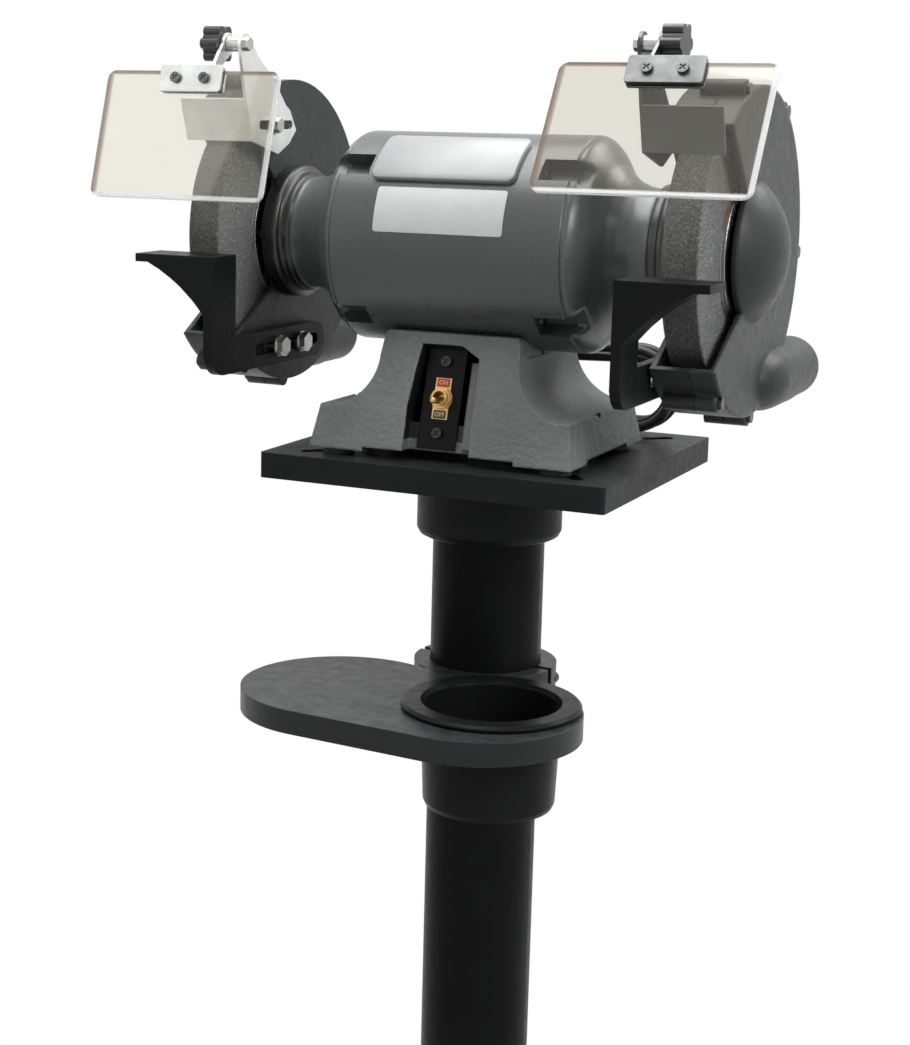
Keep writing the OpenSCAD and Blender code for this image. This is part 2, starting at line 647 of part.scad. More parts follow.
// Motor shell: a tube with eight pockets for the tie bolts' heads
module pocket(x1) for (a = [45, 135, 225, 315]) rotate([a, 0, 0])
    translate([pocket_x, -pocket_w / 2, motor_r - pocket_deep]) cube([x1 - pocket_x, pocket_w, pocket_deep + 5]);
module pocket_box(x0, x1) for (a = [45, 135, 225, 315]) rotate([a, 0, 0])
    translate([x0, -pocket_w / 2 - pocket_wall, motor_r - pocket_deep - pocket_wall])
        cube([x1 - x0, pocket_w + 2 * pocket_wall, pocket_deep + 1]);
module tie_holes(r) for (a = [45, 135, 225, 315]) rotate([a, 0, 0]) translate([0, 0, tie_r])
    rod_x(r, -pocket_x - 10, pocket_x + 10, 32);
module motor_shell() color("#54585a") on_shaft() difference() {
    union() {
        turn_x([[-shell_hl, motor_r - motor_wall], [shell_hl, motor_r - motor_wall],
            [shell_hl, motor_r - 1], [shell_hl - 1, motor_r], [-shell_hl + 1, motor_r], [-shell_hl, motor_r - 1]]);
        both() intersection() {
            pocket_box(pocket_x - pocket_wall, shell_hl);
            rod_x(motor_r - 1, 0, shell_hl, 96);
        }
    }
    both() pocket(shell_hl + 1);
    tie_holes(tie_d / 2 + fit);
}
module end_bell(s) color("#54585a") on_shaft() side(s) difference() {
    union() {
        turn_x([[shell_hl - 3, motor_r - motor_wall], [shell_hl - 3, motor_r - 1], [shell_hl + 1, motor_r - 0.4],
            [shell_hl + 4, motor_r - 2], [shell_hl + 8, motor_r - 6], [shell_hl + 12, motor_r - 12],
            [shell_hl + 17, motor_r - 20], [shell_hl + 23, motor_r - 27], [shell_hl + 30, neck_r + 4.5],
            [shell_hl + 38, neck_r + 1.2], [neck_x - 8, neck_r], [neck_x, neck_r], [neck_x, ring_r],
            [neck_x + 8, ring_r], [neck_x + 8, big_ring_r], [guard_x, big_ring_r], [guard_x, neck_r - 5],
            [bearing_x + bearing_w + 3, neck_r - 5], [bearing_x + bearing_w + 3, journal_r + 2],
            [bearing_x + bearing_w, journal_r + 2], [bearing_x + bearing_w, bearing_r + 0.02],
            [bearing_x - 2, bearing_r + 0.02], [bearing_x - 2, bearing_r + 6], [shell_hl + 24, motor_r - 36],
            [shell_hl + 12, motor_r - 19], [shell_hl + 4, motor_r - 8]]);
        intersection() {
            pocket_box(shell_hl - 3, shell_hl + 14);
            turn_x([[shell_hl - 3, 50], [shell_hl - 3, motor_r - 2.4], [shell_hl + 4, motor_r - 4.6],
                [shell_hl + 8, motor_r - 9.4], [shell_hl + 12, motor_r - 15.4], [shell_hl + 17, 50]]);
        }
    }
    pocket(shell_hl + 11);
    rod_x(motor_r + 5, shell_hl - 12, shell_hl, 64);
    at_mounts() rod_x(mount_screw_d / 2 + fit, guard_x - 11, guard_x + 1, 32);
}
module left_end_bell() end_bell(-1);
module right_end_bell() end_bell(1);
module tie_bolts() color("#3c3e40") on_shaft() for (a = [45, 135, 225, 315]) rotate([a, 0, 0])
    translate([0, 0, tie_r]) {
        rod_x(tie_d / 2, -pocket_x - 1, pocket_x + 1, 32);
        both() hex_x(7, pocket_x, pocket_x + 4);
    }
module stator_core() color("#6c6e70") on_shaft() difference() {
    rod_x(motor_r - motor_wall - 0.05, -stator_l / 2, stator_l / 2, 96);
    rod_x(rotor_r + rotor_gap, -stator_l, stator_l, 96);
    for (a = [0 : 15 : 345]) rotate([a, 0, 0]) translate([-stator_l, -2, rotor_r - 1]) cube([2 * stator_l, 4, 16]);
    for (a = [45, 135, 225, 315]) rotate([a, 0, 0]) translate([-stator_l, -tie_d / 2 - 1, tie_r - tie_d / 2 - 1])
        cube([2 * stator_l, tie_d + 2, 12]);
}
module stator_windings() color("#8a4b22") on_shaft() {
    both() turn_x([[stator_l / 2, rotor_r + 4], [stator_l / 2 + 14, rotor_r + 4], [stator_l / 2 + 18, rotor_r + 8],
        [stator_l / 2 + 18, rotor_r + 14], [stator_l / 2 + 13, rotor_r + 19], [stator_l / 2, rotor_r + 17]]);
    for (a = [0 : 15 : 345]) rotate([a, 0, 0])
        translate([-stator_l / 2 - 5, -1.8, rotor_r + 5.5]) cube([stator_l + 10, 3.6, 9]);
}
module rotor_core() color("#7a7c7e") on_shaft() difference() {
    union() {
        rod_x(rotor_r, -rotor_l / 2, rotor_l / 2, 96);
        both() turn_x([[rotor_l / 2 - eps, rotor_r - 12], [rotor_l / 2 + 5, rotor_r - 12],
            [rotor_l / 2 + 5, rotor_r - 3], [rotor_l / 2 - eps, rotor_r - 1]]);
    }
    rod_x(journal_r + 0.02, -rotor_l, rotor_l, 96);
}
module arbor_shaft() color("#9b9d9f") on_shaft() {
    turn_x([[-arbor_end, 0], [-arbor_end, arbor_r - 1], [-arbor_end + 1, arbor_r], [-fl_in0, arbor_r],
        [-fl_in0, journal_r], [-bearing_x, journal_r], [-bearing_x, journal_r + 2],
        [-bearing_x + 10, journal_r + 2], [-bearing_x + 10, journal_r], [bearing_x - 10, journal_r],
        [bearing_x - 10, journal_r + 2], [bearing_x, journal_r + 2], [bearing_x, journal_r],
        [fl_in0, journal_r], [fl_in0, arbor_r], [arbor_end - 1, arbor_r], [arbor_end, arbor_r - 1],
        [arbor_end, 0]]);
}
module ball_bearings() color("#a9abad") on_shaft() both() difference() {
    rod_x(bearing_r, bearing_x + run_fit, bearing_x + bearing_w, 96);
    rod_x(journal_r + run_fit, 0, 2 * bearing_x, 96);
    for (x = [bearing_x - 0.5, bearing_x + bearing_w - 1]) translate([x, 0, 0])
        turn_x([[0, journal_r + 3.5], [1.5, journal_r + 3.5], [1.5, bearing_r - 3.5], [0, bearing_r - 3.5]]);
}
module wheel_flanges() color("#b5b6b4") on_shaft() both() {
    turn_x([[fl_in0, arbor_r + 0.02], [fl_in1 - 0.8, arbor_r + 0.02], [fl_in1 - 0.8, flange_r - 12],
        [fl_in1, flange_r - 10], [fl_in1, flange_r], [fl_in1 - 2, flange_r], [fl_in0 + 0.4, flange_r - 14],
        [fl_in0, flange_r - 26]]);
    turn_x([[fl_out0, flange_r], [fl_out0 + 2.6, flange_r], [fl_out0 + 4.5, flange_r - 4],
        [fl_out0 + 5, flange_r - 14], [fl_out1, 20], [fl_out1, arbor_r + 0.02], [fl_out0 + 0.8, arbor_r + 0.02],
        [fl_out0 + 0.8, flange_r - 12], [fl_out0, flange_r - 10]]);
}
module wheel_blotters() color("#c8642c") on_shaft() both() for (x = [fl_in1, wheel_x1]) translate([x, 0, 0])
    turn_x([[0, flange_r - 9.5], [blot_t, flange_r - 9.5], [blot_t, flange_r + 1], [0, flange_r + 1]]);
module wheel(s) color("#6e6f6c") on_shaft() side(s)
    turn_x([[wheel_x, arbor_r + 0.02], [wheel_x, wheel_r - 0.8], [wheel_x + 0.8, wheel_r],
        [wheel_x1 - 0.8, wheel_r], [wheel_x1, wheel_r - 0.8], [wheel_x1, arbor_r + 0.02]]);
module left_wheel() wheel(-1);
module right_wheel() wheel(1);
module arbor_nuts() color("#8f9193") on_shaft() both() difference() {
    hex_x(nut_af, fl_out1, fl_out1 + nut_t);
    rod_x(arbor_r + 0.02, 0, 2 * cover_x, 96);
}

// Wheel guards: a disc with a wedge open to the front, a rim, a hub dome and an exhaust spout
module guard_disc(r) difference() {
    circle(r, $fn = 128);
    polygon(wedge);
}
module guard_rim(r) difference() {
    guard_disc(r);
    circle(r - guard_wall, $fn = 128);
}
module at_boss(a) translate([0, boss_ring * cos(a), boss_ring * sin(a)]) children();
module at_rest_bolts() for (y = rest_bolt_y) translate([0, y, arm_z - shaft_h]) children();
module at_spark_bolt() translate([0, spark_bolt_y, spark_bolt_z - shaft_h]) children();
module at_mounts() for (a = [90, 210, 330]) rotate([a, 0, 0]) translate([0, 0, neck_r + 1]) children();
// Exhaust spout's outside: a round nose, and a free end that a hose slides over up to its shoulder
function nose_arc(grow) = [for (i = [0 : 9]) let(a = i * 10)
    [spout_nose - (spout_nose - spout_from + grow) * cos(a), (spout_r + 0.6 + grow) * sin(a)]];
module spout_form(grow, out = 0) translate([spout_x, 0, spout_z]) rotate([0, 0, 90])
    turn_x(concat(nose_arc(grow), [[spout_back - spout_free, spout_r + 0.8 + grow],
        [spout_back - spout_free, spout_r + grow], [spout_back + out, spout_r + grow], [spout_back + out, 0]]));
module inner_guard(s) color("#2a2c2e") on_shaft() side(s) difference() {
    union() {
        along_x(guard_x, guard_x + guard_wall) guard_disc(guard_r);
        along_x(guard_x, seam_x) guard_rim(guard_r);
        for (a = boss_at) at_boss(a) rod_x(boss_r, a == boss_at[0] ? guard_x + 5 : seam_x - 14, seam_x, 48);
        at_rest_bolts() rod_x(rest_bolt_d, leg_x1 + air, guard_x + 1, 48);
        at_spark_bolt() rod_x(spark_bolt_d + 1.5, spark_x1 + air, guard_x + 1, 48);
    }
    rod_x(hub_hole_r, 0, cover_x, 64);
    at_rest_bolts() rod_x(rest_bolt_d / 2 + fit, 0, cover_x, 48);
    at_spark_bolt() rod_x(spark_bolt_d / 2 + fit, 0, cover_x, 48);
    for (a = boss_at) at_boss(a) rod_x(cover_screw_d / 2 + fit, seam_x - 12, cover_x, 32);
    at_mounts() rod_x(mount_screw_d / 2 + fit, 0, cover_x, 32);
    spout_form(air);
}
// Hub dome's section, from its top to its foot
function dome_arc(r) = [for (i = [0 : 20]) let(a = i / 20 * asin(dome_r / dome_ball))
    [cover_x + dome_h - dome_ball + r * cos(a), r * sin(a)]];
module guard_cover(s) color("#3b3e40") on_shaft() side(s) difference() {
    union() {
        along_x(cover_x - guard_wall, cover_x) {
            guard_disc(guard_r);
            circle(dome_r, $fn = 96);
        }
        along_x(seam_x, cover_x) guard_rim(guard_r);
        turn_x(concat([[cover_x - 1, 0]], dome_arc(dome_ball), [[cover_x - 1, dome_r]]));
        for (a = boss_at) at_boss(a) rod_x(boss_r, seam_x, cover_x - 3, 48);
        difference() {
            spout_form(0);
            rod_x(guard_r - guard_wall + eps, 0, cover_x - guard_wall, 128);
        }
    }
    turn_x(concat([[seam_x, 0]], dome_arc(dome_ball - guard_wall), [[seam_x, dome_r - guard_wall - 2]]));
    spout_form(-spout_wall, 1);
    for (a = boss_at) at_boss(a) {
        rod_x(cover_screw_d / 2 + fit, 0, 2 * cover_x, 32);
        rod_x(4.5 + fit, cover_x - 3, cover_x + 1, 48);
    }
}
module left_inner_guard() inner_guard(-1);
module right_inner_guard() inner_guard(1);
module left_guard_cover() guard_cover(-1);
module right_guard_cover() guard_cover(1);
module guard_screws() color("#1a1b1c") on_shaft() both() {
    for (a = boss_at) at_boss(a) {
        rod_x(cover_screw_d / 2, seam_x - 11.5, cover_x - 3, 32);
        rod_x(4.5, cover_x - 3, cover_x, 32);
    }
    at_mounts() rod_x(mount_screw_d / 2, guard_x - 10, guard_x + guard_wall - 0.2, 32);
}

// Tool rests: a table on a curved gusset, a leg and a slotted arm, in one casting
module tool_rest(s) color("#161718") on_plate() side(s) {
    y0 = -rest_reach - rest_d;
    difference() {
        union() {
            along_y(y0, -rest_reach) {
                polygon([[leg_x0, rest_h - rest_t - 45], [leg_x1, rest_h - rest_t - 37],
                    [leg_x1 + 9, rest_h - rest_t - 27], [leg_x1 + 20, rest_h - rest_t - 17],
                    [leg_x1 + 29, rest_h - rest_t - 10.5], [leg_x1 + 38, rest_h - rest_t - 5],
                    [leg_x1 + 48, rest_h - rest_t], [leg_x0, rest_h - rest_t]]);
                translate([leg_x0, rest_h - rest_t]) square([rest_w, rest_t]);
            }
            along_x(leg_x0, leg_x1) {
                translate([y0, arm_z]) square([rest_d, rest_h - arm_z - 1]);
                translate([y0 + 18, arm_z - arm_w / 2]) square([arm_back - arm_r - y0 - 18, arm_w]);
                translate([y0 + 18, arm_z + 4.5]) circle(18);
                translate([arm_back - arm_w / 2, arm_z]) circle(arm_w / 2);
            }
        }
        along_x(leg_x0 - 1, leg_x1 + 1) translate([(slot_y0 + slot_y1) / 2, arm_z])
            slot2d(slot_y1 - slot_y0, slot_w);
    }
}
module left_tool_rest() tool_rest(-1);
module right_tool_rest() tool_rest(1);
module tool_rest_bolts() color("#a5a7a8") on_shaft() both() at_rest_bolts() {
    rod_x(rest_bolt_d / 2, leg_x0 - 4, guard_x + guard_wall, 48);
    rod_x(rest_bolt_d, leg_x0 - air - 1.6, leg_x0 - air, 48);
    hex_x(13, leg_x0 - air - 7, leg_x0 - air - 1.6);
}

// Spark guard bracket: outline points are taken from the shield's pivot
bracket = [[-8, 0], [2, -40], [12, -71], [51, -81], [69, -73], [80, -63], [70, -48], [63, -44], [43, -24],
    [20, -9], [6, 5]];
module at_pivot(set) on_plate() translate([0, -pivot_fwd - set, pivot_h]) children();
module spark_guard(s, set) color("#a9acad") side(s) difference() {
    at_pivot(set) {
        along_x(spark_x0, spark_x1) {
            polygon(bracket);
            circle(8, $fn = 48);
        }
        along_x(spark_x0, spark_x2) polygon([bracket[1], bracket[2], bracket[2] + [sheet_t, 0.7],
            bracket[1] + [sheet_t, 0.7]]);
    }
    at_pivot(set) rod_x(pivot_r + fit, 0, cover_x, 48);
    on_plate() translate([0, -set, 0]) along_x(spark_x0 - 1, spark_x1 + 1)
        translate([(spark_slot[0] + spark_slot[1]) / 2, spark_bolt_z])
            slot2d(spark_slot[1] - spark_slot[0], spark_bolt_d + 0.8);
}
module left_spark_guard() spark_guard(-1, 0);
module right_spark_guard() spark_guard(1, right_set);
module spark_guard_bolts() color("#8d8f90") on_shaft() both() at_spark_bolt() {
    rod_x(spark_bolt_d / 2, spark_x0 - 4, guard_x + guard_wall, 48);
    rod_x(7, spark_x0 - air - 1.4, spark_x0 - air, 48);
    hex_x(10, spark_x0 - air - 5.4, spark_x0 - air - 1.4);
}
module pivot_bolt(s, set) color("#9a9c9d") side(s) at_pivot(set) {
    hex_x(9, spark_x0 - 4, spark_x0);
    rod_x(pivot_r, spark_x0 - 1, knob_x + knob_t - 4, 48);
    rod_x(5.5, spark_x1, holder_x - air, 48);
}
module left_pivot_bolt() pivot_bolt(-1, 0);
module right_pivot_bolt() pivot_bolt(1, right_set);
module at_shield(s, set, tilt) side(s) at_pivot(set) rotate([-tilt, 0, 0]) children();
module clamp_holes(r) for (x = [-1, 1]) translate([shield_x + x * clamp_screw_pitch / 2, 0,
    shield_top + clamp_up - clamp_bar_h / 2]) rod_y(r, shield_y - 20, shield_y + 20, 32);
shield_front = shield_y - shield_t / 2;
shield_back = shield_y + shield_t / 2;
module clamp_plate(y) along_y(y, y + sheet_t) translate([shield_x, shield_top + clamp_up - clamp_bar_h / 2])
    rrect(clamp_w, clamp_bar_h, 2);
module shield_holder(s, set, tilt) color("#8b8e90") at_shield(s, set, tilt) difference() {
    union() {
        clamp_plate(shield_back);
        along_x(holder_x, holder_x + sheet_t) {
            circle(8, $fn = 48);
            polygon([[-7.8, -2], [7, -4], [shield_back + sheet_t + 3, shield_top + 2],
                [shield_back + sheet_t, shield_top - 0.5], [shield_back, shield_top - 0.5],
                [shield_back, shield_top + clamp_up]]);
        }
    }
    rod_x(pivot_r + run_fit, 0, 2 * cover_x, 48);
    clamp_holes(2 + fit);
}
module left_shield_holder() shield_holder(-1, 0, left_tilt);
module right_shield_holder() shield_holder(1, right_set, right_tilt);
module eye_shield(s, set, tilt) color([0.93, 0.9, 0.82, 0.35]) at_shield(s, set, tilt) difference() {
    along_y(shield_front, shield_back) translate([shield_x, shield_top - shield_h / 2])
        rrect(shield_w, shield_h, 7);
    clamp_holes(2 + fit);
}
module left_eye_shield() eye_shield(-1, 0, left_tilt);
module right_eye_shield() eye_shield(1, right_set, right_tilt);
module shield_clamp(s, set, tilt) color("#c3c5c6") at_shield(s, set, tilt) difference() {
    clamp_plate(shield_front - sheet_t);
    clamp_holes(2 + fit);
}
module left_shield_clamp() shield_clamp(-1, 0, left_tilt);
module right_shield_clamp() shield_clamp(1, right_set, right_tilt);
module clamp_screws(s, set, tilt) color("#9ea0a2") at_shield(s, set, tilt) for (x = [-1, 1])
    translate([shield_x + x * clamp_screw_pitch / 2, 0, shield_top + clamp_up - clamp_bar_h / 2]) {
        rod_y(2, shield_front - sheet_t, shield_back + sheet_t + 4, 32);
        difference() {
            rod_y(4, shield_front - sheet_t - 2.4, shield_front - sheet_t, 48);
            for (a = [45, 135]) rotate([0, a, 0])
                translate([-2.6, shield_front - sheet_t - 3, -0.5]) cube([5.2, 1.8, 1]);
        }
        translate([0, shield_back + sheet_t, 0]) rotate([-90, 0, 0]) cylinder(d = 8, h = 3, $fn = 6);
    }
module left_clamp_screws() clamp_screws(-1, 0, left_tilt);
module right_clamp_screws() clamp_screws(1, right_set, right_tilt);
module shield_knob(s, set) color("#141415") side(s) at_pivot(set) difference() {
    along_x(knob_x, knob_x + knob_t) {
        circle(knob_r - 3.5, $fn = 48);
        for (a = [0 : 60 : 300]) rotate(a) translate([knob_r - 4, 0]) circle(4, $fn = 32);
    }
    rod_x(pivot_r + run_fit, 0, knob_x + knob_t - 3.5, 48);
}
module left_shield_knob() shield_knob(-1, 0);
module right_shield_knob() shield_knob(1, right_set);

// Mains lead: an unbroken round tube swept along its points
function unit(v) = v / norm(v);
function heading(p, i) = unit(p[min(i + 1, len(p) - 1)] - p[max(i - 1, 0)]);
function ring(p, i, r, n, up) = let(t = heading(p, i), u = unit(cross(up, t)), w = cross(t, u))
    [for (k = [0 : n - 1]) p[i] + r * (cos(360 * k / n) * u + sin(360 * k / n) * w)];
module tube(p, r, n, up) {
    m = len(p);
    polyhedron(points = [for (i = [0 : m - 1]) each ring(p, i, r, n, up)], faces = concat(
        [for (k = [1 : n - 2]) [0, k + 1, k]],
        [for (k = [1 : n - 2]) [(m - 1) * n, (m - 1) * n + k, (m - 1) * n + k + 1]],
        [for (i = [0 : m - 2], k = [0 : n - 1]) [i * n + k, i * n + (k + 1) % n, (i + 1) * n + k]],
        [for (i = [0 : m - 2], k = [0 : n - 1]) [i * n + (k + 1) % n, (i + 1) * n + (k + 1) % n, (i + 1) * n + k]]));
}
function tri(t) = let(f = t - floor(t)) floor(t) % 2 == 0 ? 1 - f : f;
function ease(q) = q * q * (3 - 2 * q);
function layer(t) = let(k = round(t), d = t - k) k == 0 ? 0 : abs(d) < 0.11 ? k - 1 + ease((d + 0.11) / 0.22) : floor(t);
function loop_at(u, r) = u < 0.11 ? [hank_run * u / 0.11, r]
    : u < 0.39 ? [hank_run + r * sin((u - 0.11) / 0.28 * 180), r * cos((u - 0.11) / 0.28 * 180)]
    : u < 0.61 ? [hank_run - 2 * hank_run * (u - 0.39) / 0.22, -r]
    : u < 0.89 ? [-hank_run - r * sin((u - 0.61) / 0.28 * 180), -r * cos((u - 0.61) / 0.28 * 180)]
    : [-hank_run + hank_run * (u - 0.89) / 0.11, r];
function hank_at(t) = let(q = loop_at(t - floor(t), hank_in + hank_step * tri(t)))
    [hank_x + q[0], hank_y + hank_pitch * layer(t), hank_z + q[1]];
hank_start = hank_at(0);
hank_end = hank_at(hank_turns);
hank_pts = concat([hank_start - [cord_d, 0, 0]], [for (i = [0 : hank_turns * hank_n]) hank_at(i / hank_n)],
    [hank_end - [cord_d, 0, 0]]);
tail_y = hank_end[1];
tail_pts = concat([hank_end - [cord_d, 0, 0], hank_end - [2 * cord_d, 0, 0]],
    [[0, tail_y, 9.2], [-15, tail_y, 10.2], [-30, tail_y, 11.4], [-44, tail_y, 12.3], [-54, tail_y, 12.5],
    [-62, tail_y, 12.5]]);
lead_all = concat([[cord_exit[0], back_y + relief_l, cord_exit[1]]],
    [for (i = [1 : len(lead_pts) - 1]) lead_pts[i]]);
function run(p, i = 0) = i >= len(p) - 1 ? 0 : norm(p[i + 1] - p[i]) + run(p, i + 1);
fine = [for (i = [0 : hank_turns * 96]) hank_at(i / 96)];
least = min([for (i = [0 : len(fine) - 1]) for (j = [i + 40 : 1 : len(fine) - 1]) norm(fine[i] - fine[j])]) - cord_d;
echo(str("least gap of the hank to itself ", least, " mm"));
echo(str("length of the lead ", run(lead_all) + run(hank_pts) + run(tail_pts) + relief_l, " mm"));
module at_cord() translate([0, 0, stand_h]) children();
module cord_strain_relief() color("#131314") at_cord() translate([cord_exit[0], back_y, cord_exit[1]]) {
    rod_y(cord_r + 2, -9, 3, 48);
    rod_y(cord_r + 5, base_lean * (cord_r + 5) + 0.1, 6, 48);
    translate([0, 5.9, 0]) rotate([-90, 0, 0]) cylinder(r1 = cord_r + 2.6, r2 = cord_r + 0.6, h = relief_l - 5.9, $fn = 48);
}
module power_cord() color("#17181a") at_cord() tube(lead_all, cord_r, 10, [0, 0, 1]);
module cord_hank() color("#17181a") at_cord() tube(hank_pts, cord_r, 6, [0, 1, 0]);
module cord_tail() color("#17181a") at_cord() tube(tail_pts, cord_r, 10, [0, 0, 1]);
module power_plug() color("#141415") at_cord() translate([tail_pts[len(tail_pts) - 1][0], tail_y, 12.5]) mirror([1, 0, 0]) {
    turn_x([[0, 0], [0, 6], [12, 7.5], [18, 12], [36, 12], [38, 10.5], [38, 0]]);
    for (y = [-1, 1]) translate([37, y * 6.35 - 0.75, -3]) cube([17, 1.5, 6.3]);
    translate([0, 0, -7.5]) rod_x(2.4, 37, 57, 32);
}

stand_base();
column();
column_set_screws();
top_plate();
hold_down_bolts();
rubber_feet();
tool_tray();
tray_clamp();
tray_clamp_bolts();
coolant_pot();
grinder_base();
base_bottom_cover();
switch_plate();
switch_screws();
switch_body();
switch_nut();
on_off_plate();
switch_lever();
motor_shell();
left_end_bell();
right_end_bell();
tie_bolts();
stator_core();
stator_windings();
rotor_core();
arbor_shaft();
ball_bearings();
wheel_flanges();
wheel_blotters();
left_wheel();
right_wheel();
arbor_nuts();
left_inner_guard();
right_inner_guard();
left_guard_cover();
right_guard_cover();
guard_screws();
left_tool_rest();
right_tool_rest();
tool_rest_bolts();
left_spark_guard();
right_spark_guard();
spark_guard_bolts();
left_pivot_bolt();
right_pivot_bolt();
left_shield_holder();
right_shield_holder();
left_eye_shield();
right_eye_shield();
left_shield_clamp();
right_shield_clamp();
left_clamp_screws();
right_clamp_screws();
left_shield_knob();
right_shield_knob();
cord_strain_relief();
power_cord();
cord_hank();
cord_tail();
power_plug();
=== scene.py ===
import json
import math

import bpy
from mathutils import Matrix, Vector

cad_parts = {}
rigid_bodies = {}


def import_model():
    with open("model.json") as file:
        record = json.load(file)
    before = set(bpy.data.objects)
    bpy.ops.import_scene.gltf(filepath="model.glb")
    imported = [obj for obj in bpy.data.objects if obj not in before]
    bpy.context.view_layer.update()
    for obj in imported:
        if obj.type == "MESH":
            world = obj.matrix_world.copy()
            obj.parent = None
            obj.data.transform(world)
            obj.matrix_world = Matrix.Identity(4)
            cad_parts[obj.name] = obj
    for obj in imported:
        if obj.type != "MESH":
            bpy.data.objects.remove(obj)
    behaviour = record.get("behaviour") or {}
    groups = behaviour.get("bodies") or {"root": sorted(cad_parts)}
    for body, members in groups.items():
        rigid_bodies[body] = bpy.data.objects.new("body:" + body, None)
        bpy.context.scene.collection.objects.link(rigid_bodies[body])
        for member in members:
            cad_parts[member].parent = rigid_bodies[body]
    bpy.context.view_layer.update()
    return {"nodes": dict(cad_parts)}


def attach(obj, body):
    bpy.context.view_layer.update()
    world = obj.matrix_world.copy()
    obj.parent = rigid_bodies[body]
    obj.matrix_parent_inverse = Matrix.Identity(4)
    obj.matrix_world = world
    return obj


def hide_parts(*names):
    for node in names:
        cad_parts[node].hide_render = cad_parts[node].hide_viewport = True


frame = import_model()
nodes_of = frame["nodes"]

MM = 0.001
PLATE_TOP = 0.832             # the stand's top plate, over the floor
BASE_AT_Y = -28               # the grinder's middle, forward of the column's, in millimetres
SHAFT = Vector((0, BASE_AT_Y * MM, 0.9925))
SHELL_RADIUS = 0.0795         # the motor shell, outside

# ------------------------------------------------------------------ camera

VIEW_FROM = (0.5936, -1.4351, PLATE_TOP + 0.2657)
VIEW_YAW, VIEW_PITCH, VIEW_ROLL = 26.8, 11.43, 0.86   # degrees: leftward, downward, tipped
PHOTO_SIZE = (910, 1045)                              # pixels
PHOTO_MIDDLE = (341.0, 501.4)                         # the pixel straight ahead of the lens
PHOTO_FOCUS = 2006.6                                  # the focal length in pixels
SENSOR = 36


def set_camera():
    """The photograph's viewpoint: right of the grinder and a little above its motor."""
    yaw, pitch, roll = (math.radians(angle) for angle in (VIEW_YAW, VIEW_PITCH, VIEW_ROLL))
    ahead = Vector((-math.sin(yaw) * math.cos(pitch), math.cos(yaw) * math.cos(pitch), -math.sin(pitch)))
    side = Vector((math.cos(yaw), math.sin(yaw), 0))
    over = side.cross(ahead)
    right = side * math.cos(roll) + over * math.sin(roll)
    up = over * math.cos(roll) - side * math.sin(roll)
    turned = Matrix((right, up, -ahead)).transposed().to_4x4()
    bpy.ops.object.camera_add()
    camera = bpy.context.object
    camera.name = "photo_camera"
    camera.matrix_world = Matrix.Translation(VIEW_FROM) @ turned
    wide, tall = PHOTO_SIZE
    lens = camera.data
    lens.sensor_width = SENSOR
    lens.lens = PHOTO_FOCUS / tall * SENSOR
    lens.shift_x = (wide / 2 - PHOTO_MIDDLE[0]) / tall
    lens.shift_y = (PHOTO_MIDDLE[1] - tall / 2) / tall
    lens.clip_end = 60
    bpy.context.scene.camera = camera


set_camera()

# ------------------------------------------------------------------ bench work


def only(piece):
    """This piece alone is picked and active, in object mode."""
    if bpy.context.object and bpy.context.object.mode != "OBJECT":
        bpy.ops.object.mode_set(mode="OBJECT")
    bpy.ops.object.select_all(action="DESELECT")
    piece.select_set(True)
    bpy.context.view_layer.objects.active = piece


def named(name):
    """The active piece and its mesh under one name."""
    piece = bpy.context.object
    piece.name = name
    piece.data.name = name
    return piece


def settle(piece):
    """Its place, turn and size go into its mesh, and the object goes back to the origin."""
    only(piece)
    bpy.ops.object.transform_apply(location=True, rotation=True, scale=True)


SLOPE = math.atan(0.285)                             # how far the base's front leans back
SLOPE_FOOT_Y, SLOPE_FOOT_Z = -107.5, 837             # the foot of that front, in millimetres


def on_slope(x, inward, up):
    """A place on the base's leaning front, in millimetres: right, into the casting, and up the slope."""
    return Vector((x, SLOPE_FOOT_Y + inward * math.cos(SLOPE) + up * math.sin(SLOPE),
                   SLOPE_FOOT_Z - inward * math.sin(SLOPE) + up * math.cos(SLOPE))) * MM


# ------------------------------------------------------------------ the mains lead

CORD_RADIUS = 0.004
HANK_AT = (31, 92, 38)                               # its middle over the plate, in millimetres
HANK_RUN = 52                                        # half of a straight run
HANK_IN, HANK_STEP, HANK_PITCH = 24, 9.5, 8.7        # inner loop, loop to loop, layer to layer
HANK_TURNS = 3.5
RINGS_PER_TURN = 96
HALF_RUN_SHARE = 0.11                                # of a turn, half of a straight run
END_SHARE = 0.5 - 2 * HALF_RUN_SHARE                 # and one round end


def hank_radius(turn):
    """The hank winds inward and outward by turns."""
    part = turn - math.floor(turn)
    return HANK_IN + HANK_STEP * (1 - part if math.floor(turn) % 2 == 0 else part)


def hank_layer(turn):
    """Which layer a turn lies in; it climbs to the next one along the top run."""
    near = round(turn)
    off = turn - near
    if near == 0:
        return 0
    if abs(off) < HALF_RUN_SHARE:
        q = (off + HALF_RUN_SHARE) / (2 * HALF_RUN_SHARE)
        return near - 1 + q * q * (3 - 2 * q)
    return math.floor(turn)


